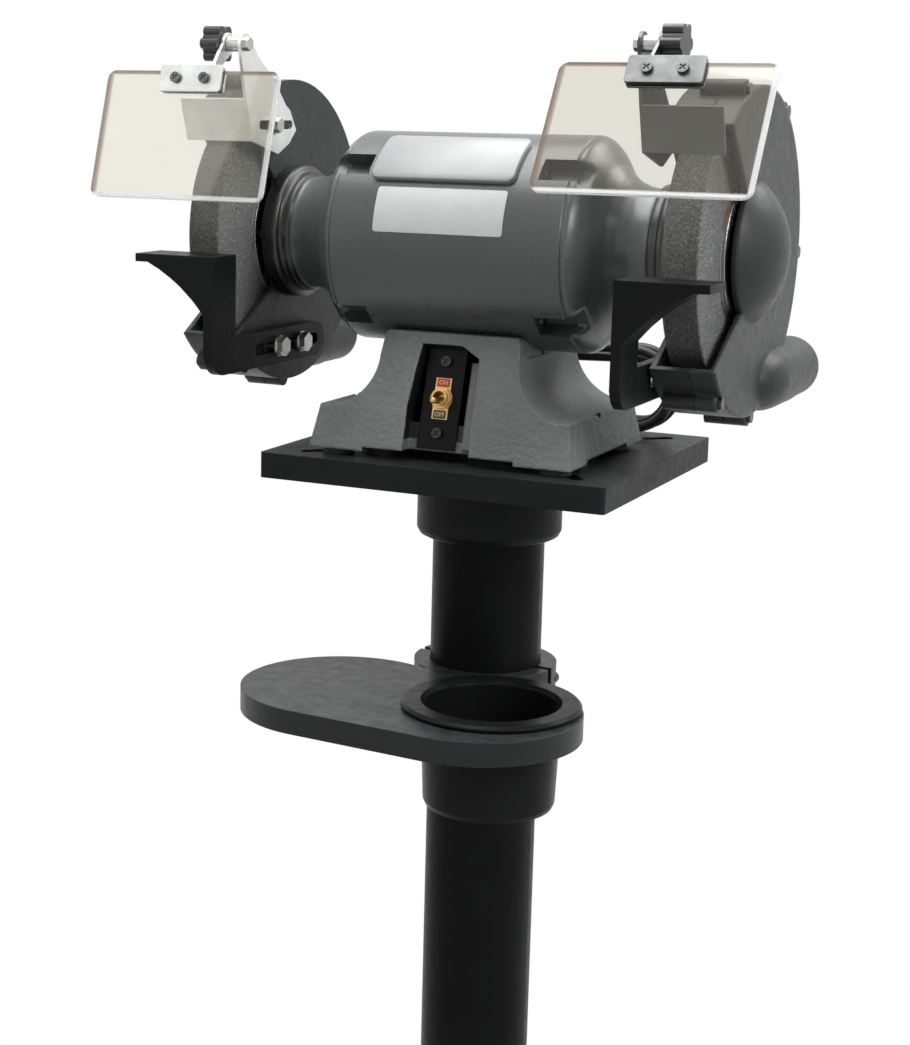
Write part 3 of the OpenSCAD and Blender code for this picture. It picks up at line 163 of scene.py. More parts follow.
def hank_loop(u, r):
    """Across and up in one turn of the hank, from the front: two straight runs and two round ends."""
    if u < HALF_RUN_SHARE:
        return HANK_RUN * u / HALF_RUN_SHARE, r
    if u < 0.5 - HALF_RUN_SHARE:
        a = math.pi * (u - HALF_RUN_SHARE) / END_SHARE
        return HANK_RUN + r * math.sin(a), r * math.cos(a)
    if u < 0.5 + HALF_RUN_SHARE:
        return HANK_RUN * (0.5 - u) / HALF_RUN_SHARE, -r
    if u < 1 - HALF_RUN_SHARE:
        a = math.pi * (u - 0.5 - HALF_RUN_SHARE) / END_SHARE
        return -HANK_RUN - r * math.sin(a), -r * math.cos(a)
    return HANK_RUN * (u - 1) / HALF_RUN_SHARE, r


def rounded_route(points, steps=4):
    """More points on the same line, on a smooth curve through the ones given."""
    route = []
    for i in range(len(points) - 1):
        a, b = Vector(points[i]), Vector(points[i + 1])
        before = Vector(points[i - 1]) if i else a
        after = Vector(points[i + 2]) if i + 2 < len(points) else b
        for k in range(steps):
            t = k / steps
            route.append(0.5 * (2 * a + (b - before) * t + (2 * before - 5 * a + 4 * b - after) * t * t
                                + (3 * a - before - 3 * b + after) * t ** 3))
    route.append(Vector(points[-1]))
    return route


def lead_route():
    """The lead from the strain relief, through the hank, to the plug, in metres."""
    out = [(-31, 58.115, 66), (-31, 62, 66), (-30, 69, 66.6), (-26, 76, 68), (-21, 82, 69.6),
           (-14, 87, 70.9), (-6, 90.4, 71.5), (3, 91.8, 71.5), (11, 92, 71.5), (19, 92, 71.5), (23, 92, 71.5)]
    tail = [(x, 118.1, z) for x, z in ((23, 9.25), (15, 9.25), (0, 9.2), (-15, 10.2), (-30, 11.4),
                                       (-44, 12.3), (-54, 12.5), (-62, 12.5))]
    hank = []
    for i in range(int(HANK_TURNS * RINGS_PER_TURN) + 1):
        turn = i / RINGS_PER_TURN
        x, z = hank_loop(turn - math.floor(turn), hank_radius(turn))
        hank.append(Vector((HANK_AT[0] + x, HANK_AT[1] + HANK_PITCH * hank_layer(turn), HANK_AT[2] + z)))
    route = rounded_route(out) + hank + rounded_route(tail)
    return [p * MM + Vector((0, 0, PLATE_TOP)) for p in route]


def lay_lead():
    """The lead as one even tube along its route."""
    route = lead_route()
    line = bpy.data.curves.new("mains_lead", "CURVE")
    line.dimensions = "3D"
    line.bevel_depth = CORD_RADIUS
    line.bevel_resolution = 3
    line.use_fill_caps = True
    spline = line.splines.new("POLY")
    spline.points.add(len(route) - 1)
    for point, at in zip(spline.points, route):
        point.co = (*at, 1)
    lead = bpy.data.objects.new("mains_lead", line)
    bpy.context.collection.objects.link(lead)
    length = sum((b - a).length for a, b in zip(route, route[1:]))
    only(lead)
    bpy.ops.object.convert(target="MESH")
    lead = named("mains_lead")
    bpy.ops.object.shade_smooth()
    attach(lead, "stand")
    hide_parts("power_cord", "cord_hank", "cord_tail")
    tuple(route[0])
    return lead


lead = lay_lead()

# ------------------------------------------------------------------ finishes


FLAT_AGREES, EDGE_AGREES = 0.985, 0.86               # softened against plain normal, on a face and an edge


class Finish:
    """A finish of its own: colour, roughness and bump from nodes that read Object coordinates."""

    def __init__(self, name, metal=0.0, specular=0.5, coat=0.0, coat_rough=0.2):
        self.mat = bpy.data.materials.new(name)
        self.mat.use_nodes = True
        self.tree = self.mat.node_tree
        self.shader = self.tree.nodes["Principled BSDF"]
        self.set("Metallic", metal)
        self.set("Specular IOR Level", specular)
        self.set("Coat Weight", coat)
        self.set("Coat Roughness", coat_rough)
        self.place = self.add("ShaderNodeTexCoord").outputs["Object"]
        self.normal = None

    def add(self, kind, **values):
        """A new node with these values."""
        node = self.tree.nodes.new(kind)
        for key, value in values.items():
            setattr(node, key, value)
        return node

    def set(self, socket, value):
        """A plain value on one of the shader's own sockets."""
        self.shader.inputs[socket].default_value = value

    def feed(self, socket, value):
        """A number, colour or another node's output into one socket."""
        if isinstance(value, bpy.types.NodeSocket):
            self.tree.links.new(value, socket)
        elif isinstance(value, (tuple, list)) and len(value) == 3 and socket.type == "RGBA":
            socket.default_value = (*value, 1)
        else:
            socket.default_value = value

    def moved(self, at=(0, 0, 0), turn=(0, 0, 0), stretch=(1, 1, 1)):
        """The Object coordinates, shifted, turned and stretched."""
        node = self.add("ShaderNodeMapping")
        self.feed(node.inputs["Vector"], self.place)
        node.inputs["Location"].default_value = at
        node.inputs["Rotation"].default_value = turn
        node.inputs["Scale"].default_value = stretch
        return node.outputs["Vector"]

    def noise(self, grain, detail=3.0, rough=0.5, at=None):
        """Noise with spots about grain metres wide."""
        node = self.add("ShaderNodeTexNoise")
        self.feed(node.inputs["Vector"], at or self.place)
        node.inputs["Scale"].default_value = 1 / grain
        node.inputs["Detail"].default_value = detail
        node.inputs["Roughness"].default_value = rough
        return node.outputs["Fac"]

    def cells(self, grain, feature="F1", output="Distance"):
        """Cells about grain metres wide."""
        node = self.add("ShaderNodeTexVoronoi", feature=feature)
        self.feed(node.inputs["Vector"], self.place)
        node.inputs["Scale"].default_value = 1 / grain
        return node.outputs[output]

    def steps(self, value, *stops):
        """A colour ramp of (place, colour) pairs."""
        node = self.add("ShaderNodeValToRGB")
        self.feed(node.inputs["Fac"], value)
        bar = node.color_ramp.elements
        while len(bar) < len(stops):
            bar.new(0.5)
        for stop, (at, colour) in zip(bar, stops):
            stop.position = at
            stop.color = (*colour, 1)
        return node.outputs["Color"]

    def span(self, value, low, high, to_low=0.0, to_high=1.0):
        """A value's run from low to high, carried over to another run and held at its ends."""
        node = self.add("ShaderNodeMapRange")
        for socket, number in zip(node.inputs[:5], (value, low, high, to_low, to_high)):
            self.feed(socket, number)
        return node.outputs[0]

    def math(self, how, a, b=0.0, c=None):
        node = self.add("ShaderNodeMath", operation=how)
        self.feed(node.inputs[0], a)
        self.feed(node.inputs[1], b)
        if c is not None:
            self.feed(node.inputs[2], c)
        return node.outputs[0]

    def both(self, a, b):
        """One mask inside another, or a mask at part strength."""
        return self.math("MULTIPLY", a, b)

    def blend(self, share, a, b):
        """From colour a to colour b, by their share."""
        node = self.add("ShaderNodeMix", data_type="RGBA")
        self.feed(node.inputs[0], share)
        self.feed(node.inputs[6], a)
        self.feed(node.inputs[7], b)
        return node.outputs[2]

    def along(self, axis, at=None):
        """One coordinate of a place or colour."""
        node = self.add("ShaderNodeSeparateXYZ")
        self.feed(node.inputs[0], at or self.place)
        return node.outputs[axis]

    def facing(self, axis):
        """How far the surface faces along an axis, from -1 to 1."""
        return self.along(axis, self.add("ShaderNodeNewGeometry").outputs["Normal"])

    def round_edges(self, radius, samples=4):
        """Softened edges, and a mask of them."""
        soft = self.add("ShaderNodeBevel", samples=samples)
        soft.inputs["Radius"].default_value = radius
        self.normal = soft.outputs["Normal"]
        dot = self.add("ShaderNodeVectorMath", operation="DOT_PRODUCT")
        self.feed(dot.inputs[0], self.normal)
        self.feed(dot.inputs[1], self.add("ShaderNodeNewGeometry").outputs["Normal"])
        return self.span(dot.outputs["Value"], FLAT_AGREES, EDGE_AGREES)

    def relief(self, height, depth, strength=1.0):
        """Bump of that depth in metres, over the softened edges and the bump before it."""
        node = self.add("ShaderNodeBump")
        node.inputs["Distance"].default_value = depth
        node.inputs["Strength"].default_value = strength
        self.feed(node.inputs["Height"], height)
        if self.normal:
            self.feed(node.inputs["Normal"], self.normal)
        self.normal = node.outputs["Normal"]

    def done(self, colour, rough):
        """The material, with its colour, roughness and bump on the shader."""
        self.feed(self.shader.inputs["Base Color"], colour)
        self.feed(self.shader.inputs["Roughness"], rough)
        if self.normal:
            self.feed(self.shader.inputs["Normal"], self.normal)
        return self.mat


def toned(tone, times, more=0.0):
    """A tone made lighter or darker, with a little light added."""
    return [min(1, part * times + more) for part in tone]


def painted_casting(name, deep, pale, rough, grain=0.004, depth=0.00035, edges=0.0015, edge_tone=None,
                    edge_samples=4, dust_and_sheen=0.0, dust_and_sheen_tone=None, peel=0.0011, mottle=0.05, specular=0.3,
                    flecks=0.35, painted_shade=None):
    """Paint over a casting: sand-cast grain below, a fine skin above, paler rubbed edges, dusty upward faces
    with a painted sheen of the light from above, and painted shade where a mask is given.
    """
    f = Finish(name, specular=specular)
    edge = f.round_edges(edges, edge_samples) if edges else 0.0
    cloud = f.noise(mottle, 4, 0.6)
    tone = f.blend(f.span(cloud, 0.3, 0.7), deep, pale)
    fleck = f.noise(0.0016, 5, 0.7)
    tone = f.blend(f.span(fleck, 0.62, 0.78, 0, flecks), tone, toned(pale, 1.8, 0.01))
    wear = f.both(edge, f.span(f.noise(0.006, 4, 0.65), 0.35, 0.7))
    tone = f.blend(f.both(wear, 0.8), tone, edge_tone or toned(pale, 2.2, 0.01))
    # dusty upward faces, with a painted sheen of the light from above on them
    if dust_and_sheen:
        lies = f.both(f.span(f.facing("Z"), 0.55, 0.98), f.span(f.noise(0.022, 6, 0.7), 0.3, 0.75))
        tone = f.blend(f.both(lies, dust_and_sheen), tone, dust_and_sheen_tone)
    # painted shade: the masked part turned near-black
    if painted_shade:
        tone = f.blend(painted_shade(f), tone, WELL_PAINTED_SHADE)
    f.relief(f.noise(grain, 4, 0.6), depth)
    f.relief(f.noise(peel, 3, 0.5), 0.00008)
    gloss = f.span(f.noise(0.009, 5, 0.65), 0.25, 0.75, rough - 0.07, rough + 0.1)
    gloss = f.math("ADD", gloss, f.span(fleck, 0.6, 0.8, 0, flecks / 3))
    return f.done(tone, gloss)


# painted shade, near-black, laid into the base's switch well
WELL_PAINTED_SHADE = (0.007, 0.0075, 0.0075)
WELL_LEFT, WELL_RIGHT = -0.031, 0.0165               # the painted shade's extent across the base
WELL_LOW, WELL_TOP = 0.8475, 0.9235                  # and over the floor


def switch_well_painted_shade(f):
    """Where shade is painted into the base's switch well: behind its front and left of its rounded cheek."""
    inward = f.add("ShaderNodeVectorMath", operation="DOT_PRODUCT")
    f.feed(inward.inputs[0], f.moved(at=(0, -SLOPE_FOOT_Y * MM, -SLOPE_FOOT_Z * MM)))
    inward.inputs[1].default_value = (0, math.cos(SLOPE), -math.sin(SLOPE))
    ragged = f.math("MULTIPLY_ADD", f.noise(0.006, 3, 0.5), 0.006, -0.003)
    deep = f.span(f.math("ADD", inward.outputs["Value"], ragged), 0.0012, 0.0022)
    across, up = f.along("X"), f.along("Z")
    inside = f.both(f.span(across, WELL_RIGHT, WELL_RIGHT - 0.002),
                    f.span(across, WELL_LEFT, WELL_LEFT + 0.0015))
    level = f.both(f.span(up, WELL_LOW, WELL_LOW + 0.001), f.span(up, WELL_TOP, WELL_TOP - 0.001))
    return f.both(deep, f.both(inside, level))


BELL_SEAT_FROM = 0.143        # where an end bell's seat in its guard begins, from the motor's middle
BELL_SEAT_BLACK = (0.007, 0.0074, 0.0074)


def end_bell_paint(name):
    """The motor's paint on the drawn end bells, whose seat in the guard is black."""
    f = Finish(name)
    edge = f.round_edges(0.0065, 16)
    cloud = f.noise(0.09, 4, 0.6)
    tone = f.blend(f.span(cloud, 0.3, 0.7), (0.088, 0.096, 0.095), (0.105, 0.113, 0.112))
    fleck = f.noise(0.0012, 5, 0.7)
    tone = f.blend(f.span(fleck, 0.66, 0.8, 0, 0.06), tone, (0.16, 0.17, 0.168))
    seat = f.span(f.math("ABSOLUTE", f.along("X")), BELL_SEAT_FROM - 0.001, BELL_SEAT_FROM)
    tone = f.blend(seat, tone, f.blend(f.both(edge, 0.12), BELL_SEAT_BLACK, (0.1, 0.104, 0.103)))
    f.relief(f.noise(0.009, 4, 0.6), 0.00012)
    f.relief(f.noise(0.0011, 3, 0.5), 0.00006)
    return f.done(tone, f.span(f.noise(0.009, 5, 0.65), 0.25, 0.75, 0.25, 0.36))


def plated_steel(name, tone, rough, streak=(0.12, 1, 1), smudge=0.5):
    """Zinc-plated or turned steel: fine drawn lines, cloudy plating and duller patches."""
    f = Finish(name, metal=1.0)
    edge = f.round_edges(0.0006)
    cloud = f.noise(0.018, 5, 0.65)
    bloom = f.cells(0.009, feature="SMOOTH_F1")
    colour = f.blend(f.span(cloud, 0.32, 0.72, 0, smudge), tone, toned(tone, 0.62))
    colour = f.blend(f.span(bloom, 0.2, 0.7, 0, 0.22), colour, toned(tone, 0.8))
    colour = f.blend(f.both(edge, 0.4), colour, toned(tone, 1.35))
    lines = f.noise(0.0012, 3, 0.6, at=f.moved(stretch=streak))
    f.relief(lines, 0.00003)
    f.relief(f.noise(0.012, 2), 0.0004, 0.35)
    gloss = f.math("ADD", f.span(cloud, 0.3, 0.75, rough - 0.06, rough + 0.12),
                   f.span(lines, 0.3, 0.7, -0.04, 0.05))
    return f.done(colour, gloss)


def dark_rubber(name, tone, rough=0.6):
    """Moulded rubber or plastic: fine spark grain, faint bloom and rubbed edges."""
    f = Finish(name)
    edge = f.round_edges(0.0005)
    bloom = f.noise(0.012, 5, 0.7)
    colour = f.blend(f.span(bloom, 0.35, 0.75, 0, 0.7), tone, toned(tone, 1.9, 0.004))
    colour = f.blend(f.both(edge, 0.5), colour, toned(tone, 2.6, 0.01))
    f.relief(f.noise(0.0007, 3, 0.6), 0.00005)
    return f.done(colour, f.span(bloom, 0.3, 0.7, rough - 0.08, rough + 0.1))


PORE_GREY, GRAIN_GREY = (0.075, 0.078, 0.0765), (0.13, 0.134, 0.131)


def grinding_grit(name):
    """Vitrified abrasive: packed grains and open pores, paler on the sides than on the worn tread."""
    f = Finish(name, specular=0.25)
    speck = f.along("X", f.cells(0.00095, output="Color"))
    tone = f.steps(speck, (0.0, PORE_GREY), (0.3, GRAIN_GREY), (0.72, (0.185, 0.19, 0.186)),
                   (1.0, (0.31, 0.317, 0.309)))
    coarse = f.noise(0.0024, 4, 0.7)
    tone = f.blend(f.span(coarse, 0.3, 0.5, 0.35, 0), tone, PORE_GREY)
    cloud = f.noise(0.03, 4, 0.6)
    tone = f.blend(f.span(cloud, 0.35, 0.7, 0, 0.3), tone, GRAIN_GREY)
    side = f.math("ABSOLUTE", f.facing("X"))
    tone = f.blend(f.span(side, 0.9, 0.5, 0, 0.42), tone, (0.062, 0.065, 0.063))
    f.relief(f.cells(0.00095), 0.0003)
    f.relief(f.noise(0.0006, 4, 0.7), 0.0002)
    return f.done(tone, f.span(speck, 0, 1, 0.95, 0.75))


def wheel_paper(name):
    """The blotters' stiff paper: bleached and dusty, with its orange print left in a few places."""
    f = Finish(name, specular=0.3)
    fibre = f.noise(0.0008, 5, 0.7)
    pale = f.blend(f.span(fibre, 0.3, 0.7), (0.3, 0.305, 0.3), (0.2, 0.205, 0.2))
    print_left = f.span(f.noise(0.035, 3, 0.5), 0.52, 0.6)
    tone = f.blend(f.both(print_left, f.span(fibre, 0.3, 0.6, 0.6, 1)), pale, (0.22, 0.055, 0.02))
    f.relief(fibre, 0.0001)
    return f.done(tone, f.span(fibre, 0.3, 0.7, 0.75, 0.9))


def winding_wire(name):
    """Varnished copper turns."""
    f = Finish(name, metal=0.75, coat=0.6)
    rows = f.noise(0.0014, 2, at=f.moved(stretch=(1, 0.15, 0.15)))
    tone = f.blend(f.span(rows, 0.35, 0.65), (0.16, 0.045, 0.015), (0.44, 0.16, 0.06))
    f.relief(rows, 0.0005)
    return f.done(tone, f.span(rows, 0.3, 0.7, 0.3, 0.5))


def core_sheets(name):
    """A stack of punched steel sheets."""
    f = Finish(name, metal=0.9)
    wave = f.add("ShaderNodeTexWave", wave_type="BANDS", bands_direction="X")
    f.feed(wave.inputs["Vector"], f.place)
    wave.inputs["Scale"].default_value = 320
    wave.inputs["Distortion"].default_value = 0.4
    band = wave.outputs["Fac"]
    tone = f.blend(band, (0.1, 0.1, 0.105), (0.3, 0.3, 0.31))
    tone = f.blend(f.span(f.noise(0.014, 5, 0.7), 0.5, 0.75, 0, 0.5), tone, (0.16, 0.09, 0.05))
    f.relief(band, 0.0002)
    return f.done(tone, f.span(band, 0, 1, 0.6, 0.4))


def worn_brass(name):
    """Handled brass: cloudy tarnish, and edges rubbed bright."""
    f = Finish(name, metal=1.0)
    edge = f.round_edges(0.0004)
    cloud = f.noise(0.006, 5, 0.7)
    tone = f.blend(f.span(cloud, 0.35, 0.7), (0.62, 0.42, 0.16), (0.42, 0.27, 0.1))
    tone = f.blend(f.both(edge, 0.6), tone, (0.85, 0.66, 0.33))
    f.relief(f.noise(0.0009, 3), 0.00003)
    return f.done(tone, f.span(cloud, 0.3, 0.7, 0.24, 0.42))


def clear_sheet(name, shield):
    """Warm tinted polycarbonate: hairline scratches, brown sawn edges, and a painted highlight along the
    right and bottom edges.
    """
    f = Finish(name, specular=0.1, coat=0.5, coat_rough=0.03)
    f.set("IOR", 1.12)
    across = [corner.co.x for corner in shield.data.vertices]
    up = [corner.co.z for corner in shield.data.vertices]
    right = f.span(f.along("X"), max(across) - 0.0036, max(across) - 0.0026)
    bottom = f.span(f.along("Z"), min(up) + 0.0042, min(up) + 0.003)
    left = f.span(f.along("X"), min(across) + 0.004, min(across) + 0.0025)
    top = f.span(f.along("Z"), max(up) - 0.0032, max(up) - 0.0022)
    sawn = f.math("MAXIMUM", left, top)
    # painted highlight along the right and bottom edges
    bright = f.math("MAXIMUM", right, bottom)
    haze = f.noise(0.03, 5, 0.6)
    scratch = f.noise(0.0009, 2, 0.5, at=f.moved(turn=(0, 0.5, 0.2), stretch=(0.05, 1, 1)))
    marks = f.span(scratch, 0.68, 0.76, 0, 0.08)
    tone = f.blend(f.span(haze, 0.35, 0.75, 0, 0.5), (0.76, 0.74, 0.67), (0.735, 0.715, 0.64))
    tone = f.blend(f.both(sawn, 0.85), tone, (0.3, 0.23, 0.17))
    # the right and bottom edges made pale and less clear: painted highlight
    tone = f.blend(f.both(bright, 0.9), tone, (0.8, 0.815, 0.81))
    solid = f.math("MAXIMUM", f.both(sawn, 0.35), f.both(bright, 0.62))
    f.feed(f.shader.inputs["Transmission Weight"], f.span(solid, 0, 1, 0.985, 0))
    return f.done(tone, f.math("ADD", f.span(haze, 0.4, 0.75, 0.0, 0.015), marks))


def bare_plate(name):
    """Silver-grey enamelled plate, left bare: an even satin face, faint thumbing and paler rims."""
    f = Finish(name, specular=0.4, coat=0.25, coat_rough=0.25)
    edge = f.round_edges(0.0009)
    cloud = f.noise(0.03, 4, 0.55)
    tone = f.blend(f.span(cloud, 0.35, 0.7), (0.31, 0.322, 0.322), (0.285, 0.297, 0.297))
    tone = f.blend(f.span(f.noise(0.0012, 4, 0.7), 0.6, 0.8, 0, 0.2), tone, (0.22, 0.225, 0.225))
    tone = f.blend(f.both(edge, 0.5), tone, (0.55, 0.56, 0.56))
    f.relief(f.noise(0.0011, 3), 0.00003)
    return f.done(tone, f.span(cloud, 0.3, 0.7, 0.3, 0.4))


def label_foil(name):
    """A pale foil label: faint mottle, small creases and a dull print coat."""
    f = Finish(name, metal=0.2)
    cloud = f.noise(0.014, 5, 0.6)
    tone = f.blend(f.span(cloud, 0.35, 0.7), (0.6, 0.61, 0.615), (0.56, 0.57, 0.575))
    tone = f.blend(f.span(f.noise(0.0012, 4, 0.7), 0.58, 0.8, 0, 0.16), tone, (0.42, 0.43, 0.43))
    f.relief(f.noise(0.02, 2, 0.4), 0.0004, 0.3)
    f.relief(f.noise(0.001, 3), 0.00003)
    return f.done(tone, f.span(cloud, 0.3, 0.7, 0.36, 0.5))


def enamel(name, tone):
    """Baked enamel fill in a stamped plate, chipped thin at its rim."""
    f = Finish(name, coat=0.4)
    edge = f.round_edges(0.0003)
    chips = f.noise(0.0009, 4, 0.7)
    colour = f.blend(f.span(chips, 0.3, 0.75, 0, 0.5), tone, toned(tone, 0.6))
    colour = f.blend(f.both(edge, f.span(chips, 0.45, 0.6)), colour, (0.4, 0.27, 0.1))
    f.relief(chips, 0.00003)
    return f.done(colour, f.span(chips, 0.3, 0.7, 0.28, 0.42))


finishes = {
    # the plate's and tray's tops: dusty, with painted sheen
    "plate": painted_casting("satin_black_plate", (0.009, 0.0095, 0.01), (0.017, 0.018, 0.019), 0.42,
                             dust_and_sheen=0.45, dust_and_sheen_tone=(0.04, 0.042, 0.043), depth=0.0003, specular=0.1),
    "tray": painted_casting("satin_black_tray", (0.008, 0.0085, 0.009), (0.014, 0.015, 0.016), 0.36,
                            dust_and_sheen=0.7, dust_and_sheen_tone=(0.075, 0.078, 0.079), depth=0.00022, specular=0.25),
    "column": painted_casting("satin_black_tube", (0.006, 0.0062, 0.0065), (0.009, 0.0095, 0.01), 0.34,
                              grain=0.02, depth=0.00015, specular=0.05),
    "pot": painted_casting("satin_black_pot", (0.006, 0.0062, 0.0065), (0.01, 0.0105, 0.011), 0.3,
                           grain=0.02, depth=0.00012, specular=0.08),
    # the base's switch well carries painted shade
    "base": painted_casting("rough_grey_base", (0.175, 0.184, 0.181), (0.235, 0.246, 0.242), 0.5,
                            grain=0.005, depth=0.0014, edges=0.0022, edge_tone=(0.5, 0.51, 0.505),
                            peel=0.0024, specular=0.35, painted_shade=switch_well_painted_shade),
    "motor": painted_casting("satin_grey_motor", (0.071, 0.078, 0.077), (0.086, 0.093, 0.092), 0.3,
                             grain=0.009, depth=0.00012, edges=0, mottle=0.09, specular=0.5, flecks=0.05),
    "bell": end_bell_paint("satin_grey_end_bell"),
    "guard": painted_casting("charcoal_guard", (0.018, 0.019, 0.0188), (0.028, 0.03, 0.0295), 0.42,
                             grain=0.006, depth=0.0003, specular=0.2),
    "cover": painted_casting("satin_grey_cover", (0.022, 0.0235, 0.023), (0.032, 0.034, 0.0335), 0.42,
                             grain=0.008, depth=0.00025, edges=0.0045, specular=0.25, edge_samples=8),
    "rest": painted_casting("black_rest", (0.005, 0.0054, 0.0055), (0.01, 0.0105, 0.0105), 0.38,
                            grain=0.005, depth=0.0003, specular=0.08),
    "black_sheet": painted_casting("black_sheet", (0.004, 0.004, 0.0045), (0.007, 0.007, 0.0075), 0.36,
                                   grain=0.01, depth=0.0001, specular=0.1),
    "black_screw": painted_casting("blackened_screw", (0.008, 0.008, 0.009), (0.02, 0.02, 0.021), 0.3,
                                   grain=0.003, depth=0.00006, edges=0.0004, edge_tone=(0.12, 0.12, 0.125),
                                   specular=0.4),
    # painted shade: a darker shaded copy of the zinc sheet, for the right spark guard
    "zinc_painted_deep_shade": plated_steel("zinc_sheet_painted_deep_shade", (0.09, 0.093, 0.092), 0.32, streak=(1, 0.12, 1)),
    "zinc": plated_steel("zinc_sheet", (0.56, 0.57, 0.56), 0.36),
    # painted light: a lit copy of the zinc sheet, for the left spark guard and holder
    "zinc_painted_light": plated_steel("zinc_sheet_painted_light", (0.74, 0.75, 0.74), 0.36),
    # painted shade: a shaded copy of the zinc sheet, for the right shield holder and clamp
    "zinc_painted_shade": plated_steel("zinc_sheet_painted_shade", (0.15, 0.154, 0.153), 0.38, smudge=0.8),
    "bolt": plated_steel("zinc_bolt", (0.5, 0.5, 0.49), 0.3, streak=(1, 1, 0.2)),
    "steel": plated_steel("turned_steel", (0.52, 0.52, 0.53), 0.26, streak=(1, 0.15, 0.15)),
    "chrome": plated_steel("dark_chromed_screw", (0.11, 0.112, 0.115), 0.26, streak=(1, 1, 1), smudge=0.4),
    "brass": worn_brass("worn_brass"),
    "rubber": dark_rubber("black_rubber", (0.012, 0.012, 0.013)),
    "cord": dark_rubber("black_lead_jacket", (0.014, 0.014, 0.015), 0.5),
    "knob": dark_rubber("black_knob", (0.008, 0.008, 0.009), 0.34),
    "grit": grinding_grit("grey_grit"),
    "paper": wheel_paper("orange_blotter"),
    "wire": winding_wire("copper_winding"),
    "core": core_sheets("steel_core"),
    "left_shield": clear_sheet("left_clear_sheet", nodes_of["left_eye_shield"]),
    "right_shield": clear_sheet("right_clear_sheet", nodes_of["right_eye_shield"]),
}

node_finish = {
    "plate": "stand_base top_plate",
    "tray": "tool_tray tray_clamp",
    "column": "column",
    "pot": "coolant_pot",
    "base": "grinder_base",
    "motor": "motor_shell",
    "bell": "left_end_bell right_end_bell",
    "guard": "left_inner_guard right_inner_guard",
    "cover": "left_guard_cover right_guard_cover",
    "rest": "left_tool_rest right_tool_rest",
    "black_sheet": "switch_plate base_bottom_cover",
    "black_screw": "column_set_screws tray_clamp_bolts switch_screws tie_bolts guard_screws",
    "zinc": "left_shield_clamp",
    "zinc_painted_light": "left_spark_guard left_shield_holder",
    "zinc_painted_shade": "right_shield_holder right_shield_clamp",
    "zinc_painted_deep_shade": "right_spark_guard",
    "bolt": "hold_down_bolts tool_rest_bolts spark_guard_bolts left_pivot_bolt right_pivot_bolt",
    "steel": "arbor_shaft ball_bearings wheel_flanges arbor_nuts",
    "chrome": "left_clamp_screws right_clamp_screws",
    "brass": "switch_body switch_nut switch_lever on_off_plate",
    "rubber": "rubber_feet cord_strain_relief power_plug",
    "knob": "left_shield_knob right_shield_knob",
    "grit": "left_wheel right_wheel",
    "paper": "wheel_blotters",
    "wire": "stator_windings",
    "core": "stator_core rotor_core",
    "left_shield": "left_eye_shield",
    "right_shield": "right_eye_shield",
}


def give(piece, finish):
    """The piece in one finish, and no other."""
    piece.data.materials.clear()
    piece.data.materials.append(finishes[finish])


for finish_name, names in node_finish.items():
    for node_name in names.split():
        give(nodes_of[node_name], finish_name)
give(lead, "cord")

# ------------------------------------------------------------------ more bench work


def unpicked(piece):
    """Object mode, with nothing of the piece's mesh picked."""
    bpy.ops.object.mode_set(mode="OBJECT")
    mesh = piece.data
    for part in (mesh.vertices, mesh.edges, mesh.polygons):
        for one in part:
            one.select = False
    return mesh


def pick_faces_up(piece):
    """Edit mode with the faces picked that look up."""
    for face in unpicked(piece).polygons:
        face.select = face.normal.z > 0.9
    bpy.ops.object.mode_set(mode="EDIT")
    bpy.ops.mesh.select_mode(type="FACE")


def pick_corners(piece):
    """Edit mode with every corner picked."""
    for corner in unpicked(piece).vertices:
        corner.select = True
    bpy.ops.object.mode_set(mode="EDIT")
    bpy.ops.mesh.select_mode(type="VERT")


def face_outward():
    """In edit mode, the whole mesh's faces turned outward."""
    bpy.ops.mesh.select_all(action="SELECT")
    bpy.ops.mesh.normals_make_consistent(inside=False)


def thicken(thick):
    """In edit mode, a flat sheet grown upward into a solid."""
    bpy.ops.mesh.select_all(action="SELECT")
    bpy.ops.mesh.extrude_region_move(TRANSFORM_OT_translate={"value": (0, 0, thick)})
    face_outward()


def start_sheet(name, width, height):
    """A flat four-cornered sheet in the XY plane, centred."""
    bpy.ops.object.select_all(action="DESELECT")
    bpy.ops.mesh.primitive_plane_add(size=1, location=(0, 0, 0))
    sheet = named(name)
    sheet.scale = (width, height, 1)
    settle(sheet)
    return sheet


def start_block(name, size, at):
    """A square block around a place."""
    bpy.ops.object.select_all(action="DESELECT")
    bpy.ops.mesh.primitive_cube_add(size=1, location=at)
    block = named(name)
    block.scale = size
    settle(block)
    return block


def start_round(name, radius, depth, at, sides, turn=(0, 0, 0)):
    """A round rod around a place, along Z unless it is turned."""
    bpy.ops.object.select_all(action="DESELECT")
    bpy.ops.mesh.primitive_cylinder_add(vertices=sides, radius=radius, depth=depth,
                                        location=at, rotation=turn)
    rod = named(name)
    settle(rod)
    return rod


CREASE = math.radians(35)


def finished(piece, finish, body, slot, *stands_for):
    """Edge-true shading, its finish, the body it rides on and the solids it stands for."""
    only(piece)
    bpy.ops.object.shade_smooth_by_angle(angle=CREASE)
    give(piece, finish)
    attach(piece, body)
    if stands_for:
        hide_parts(*stands_for)
    return piece


def carried(piece, where):
    """Every point of the piece moved by a rule."""
    for corner in piece.data.vertices:
        corner.co = where(corner.co.copy())
    piece.data.update()


# ------------------------------------------------------------------ the cast base

